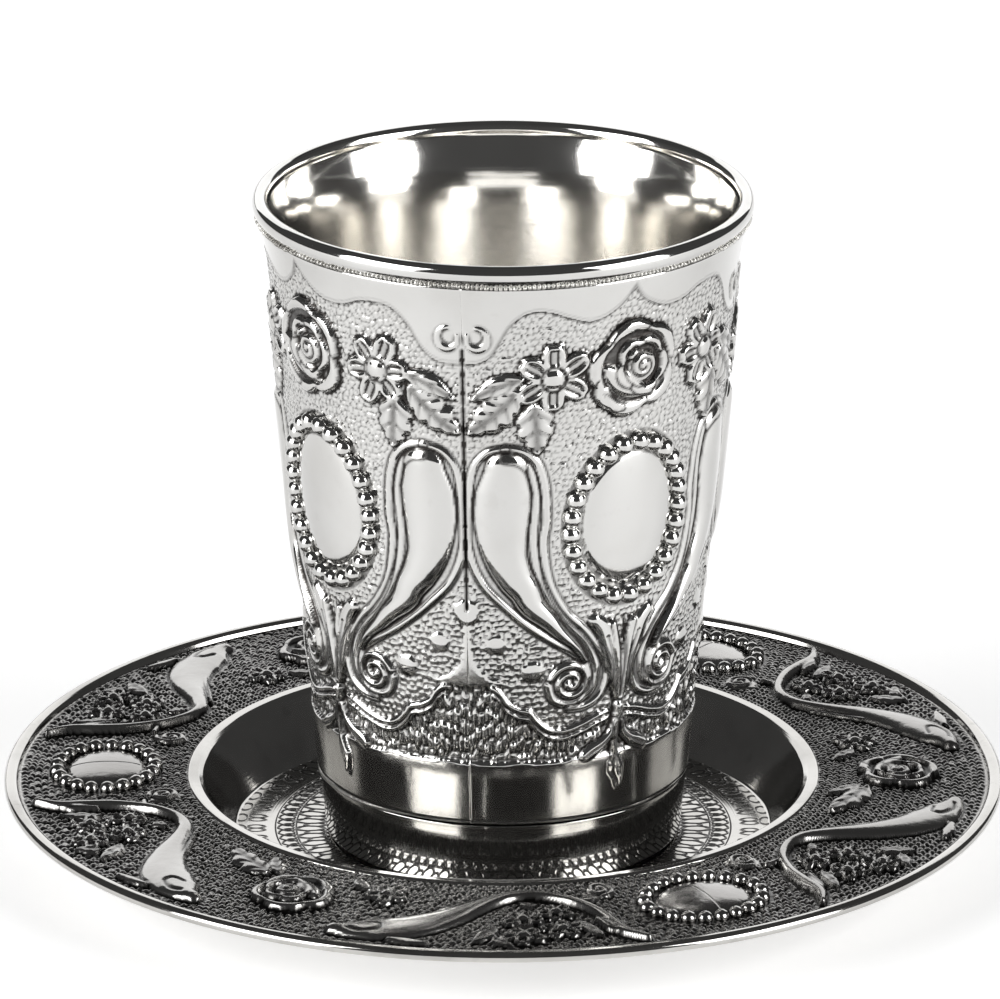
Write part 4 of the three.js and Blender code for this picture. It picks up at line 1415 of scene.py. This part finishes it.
# Name, azimuth and elevation in degrees, distance, width and height in metres, and radiance
SOFT_LIGHTS = (
    ("window_left", -59, 21, 3.0, 2.1, 2.2, 6.5),
    ("window_right", 62, 21, 3.0, 1.9, 2.2, 6.0),
    ("window_behind", 180, 20, 4.0, 5.0, 2.5, 1.4),
)
TABLE_GLOW = 0.45
ROOM_LIGHT = 0.06


class KIDDUSH_OT_stage(bpy.types.Operator):
    """Sets the pale table, the soft lights, the dark side of the room and the camera"""

    bl_idname = "kiddush.stage"
    bl_label = "Table, lights and camera"

    def execute(self, context):
        stage = context.scene.kiddush_stage
        scene = context.scene

        def card(name, corners, material):
            mesh = bpy.data.meshes.new(name)
            mesh.from_pydata([tuple(c) for c in corners], [], [(0, 1, 2, 3)])
            mesh.materials.append(material)
            piece = bpy.data.objects.new(name, mesh)
            scene.collection.objects.link(piece)
            return piece

        white = Finish("pale_table")
        white.shade((0.9, 0.9, 0.9), 0.65 + 0.05 * white.noise(30), metallic=0.0, glow=TABLE_GLOW)
        reach = 6.0
        corners = [(-reach, -reach, 0), (reach, -reach, 0), (reach, reach, 0), (-reach, reach, 0)]
        card("table", corners, white.material)

        target = Vector((0, 0, 0.04))

        def facing(azimuth, elevation, distance):
            a, e = math.radians(azimuth), math.radians(elevation)
            level = math.cos(e)
            return target + distance * Vector((math.sin(a) * level, -math.cos(a) * level, math.sin(e)))

        for name, azimuth, elevation, distance, width, height, radiance in SOFT_LIGHTS:
            light = bpy.data.lights.new(name, "AREA")
            light.shape, light.size, light.size_y = "RECTANGLE", width, height
            light.energy = radiance * math.pi * width * height * stage.daylight
            lamp = bpy.data.objects.new(name, light)
            lamp.location = facing(azimuth, elevation, distance)
            lamp.rotation_mode = "QUATERNION"
            lamp.rotation_quaternion = (target - lamp.location).to_track_quat("-Z", "Y")
            scene.collection.objects.link(lamp)

        world = bpy.data.worlds.new("soft_daylight")
        world.use_nodes = True
        sky = world.node_tree.nodes["Background"]
        sky.inputs["Color"].default_value = (1, 1, 1, 1)
        sky.inputs["Strength"].default_value = ROOM_LIGHT * stage.daylight
        scene.world = world
        scene.view_settings.view_transform = "Standard"

        camera = bpy.data.cameras.new("camera")
        camera.lens, camera.sensor_width = stage.lens, 36
        camera.clip_start, camera.clip_end = 0.05, 20
        eye = bpy.data.objects.new("camera", camera)
        eye.location = (-0.0004, -stage.camera_distance, stage.camera_height)
        eye.rotation_euler = (math.pi / 2 - stage.camera_tilt, 0, 0)
        scene.collection.objects.link(eye)
        scene.camera = eye
        return {"FINISHED"}


OPERATORS = (
    KIDDUSH_OT_stage,
    KIDDUSH_OT_saucer,
    KIDDUSH_OT_brim,
    KIDDUSH_OT_brim_beads,
    KIDDUSH_OT_beaker,
    KIDDUSH_OT_sleeve,
    KIDDUSH_OT_cup_beads,
)


class KIDDUSH_PT_panel(bpy.types.Panel):
    """The cup's sizes, colours and building steps"""

    bl_idname = "KIDDUSH_PT_panel"
    bl_label = "Kiddush cup"
    bl_space_type = "VIEW_3D"
    bl_region_type = "UI"
    bl_category = "Kiddush cup"

    def draw(self, context):
        layout = self.layout
        for name, group in SETTINGS.items():
            box = layout.box()
            box.label(text=name.replace("_", " ").capitalize())
            for prop in group.__annotations__:
                box.prop(getattr(context.scene, name), prop)
        for operator in OPERATORS:
            layout.operator(operator.bl_idname)


def register():
    for group in SETTINGS.values():
        bpy.utils.register_class(group)
    for name, group in SETTINGS.items():
        setattr(bpy.types.Scene, name, PointerProperty(type=group))
    for operator in OPERATORS:
        bpy.utils.register_class(operator)
    bpy.utils.register_class(KIDDUSH_PT_panel)


def unregister():
    bpy.utils.unregister_class(KIDDUSH_PT_panel)
    for operator in reversed(OPERATORS):
        bpy.utils.unregister_class(operator)
    for name, group in SETTINGS.items():
        delattr(bpy.types.Scene, name)
        bpy.utils.unregister_class(group)


def main():
    register()
    for operator in OPERATORS:
        family, step = operator.bl_idname.split(".")
        getattr(getattr(bpy.ops, family), step)()


if __name__ == "__main__":
    main()
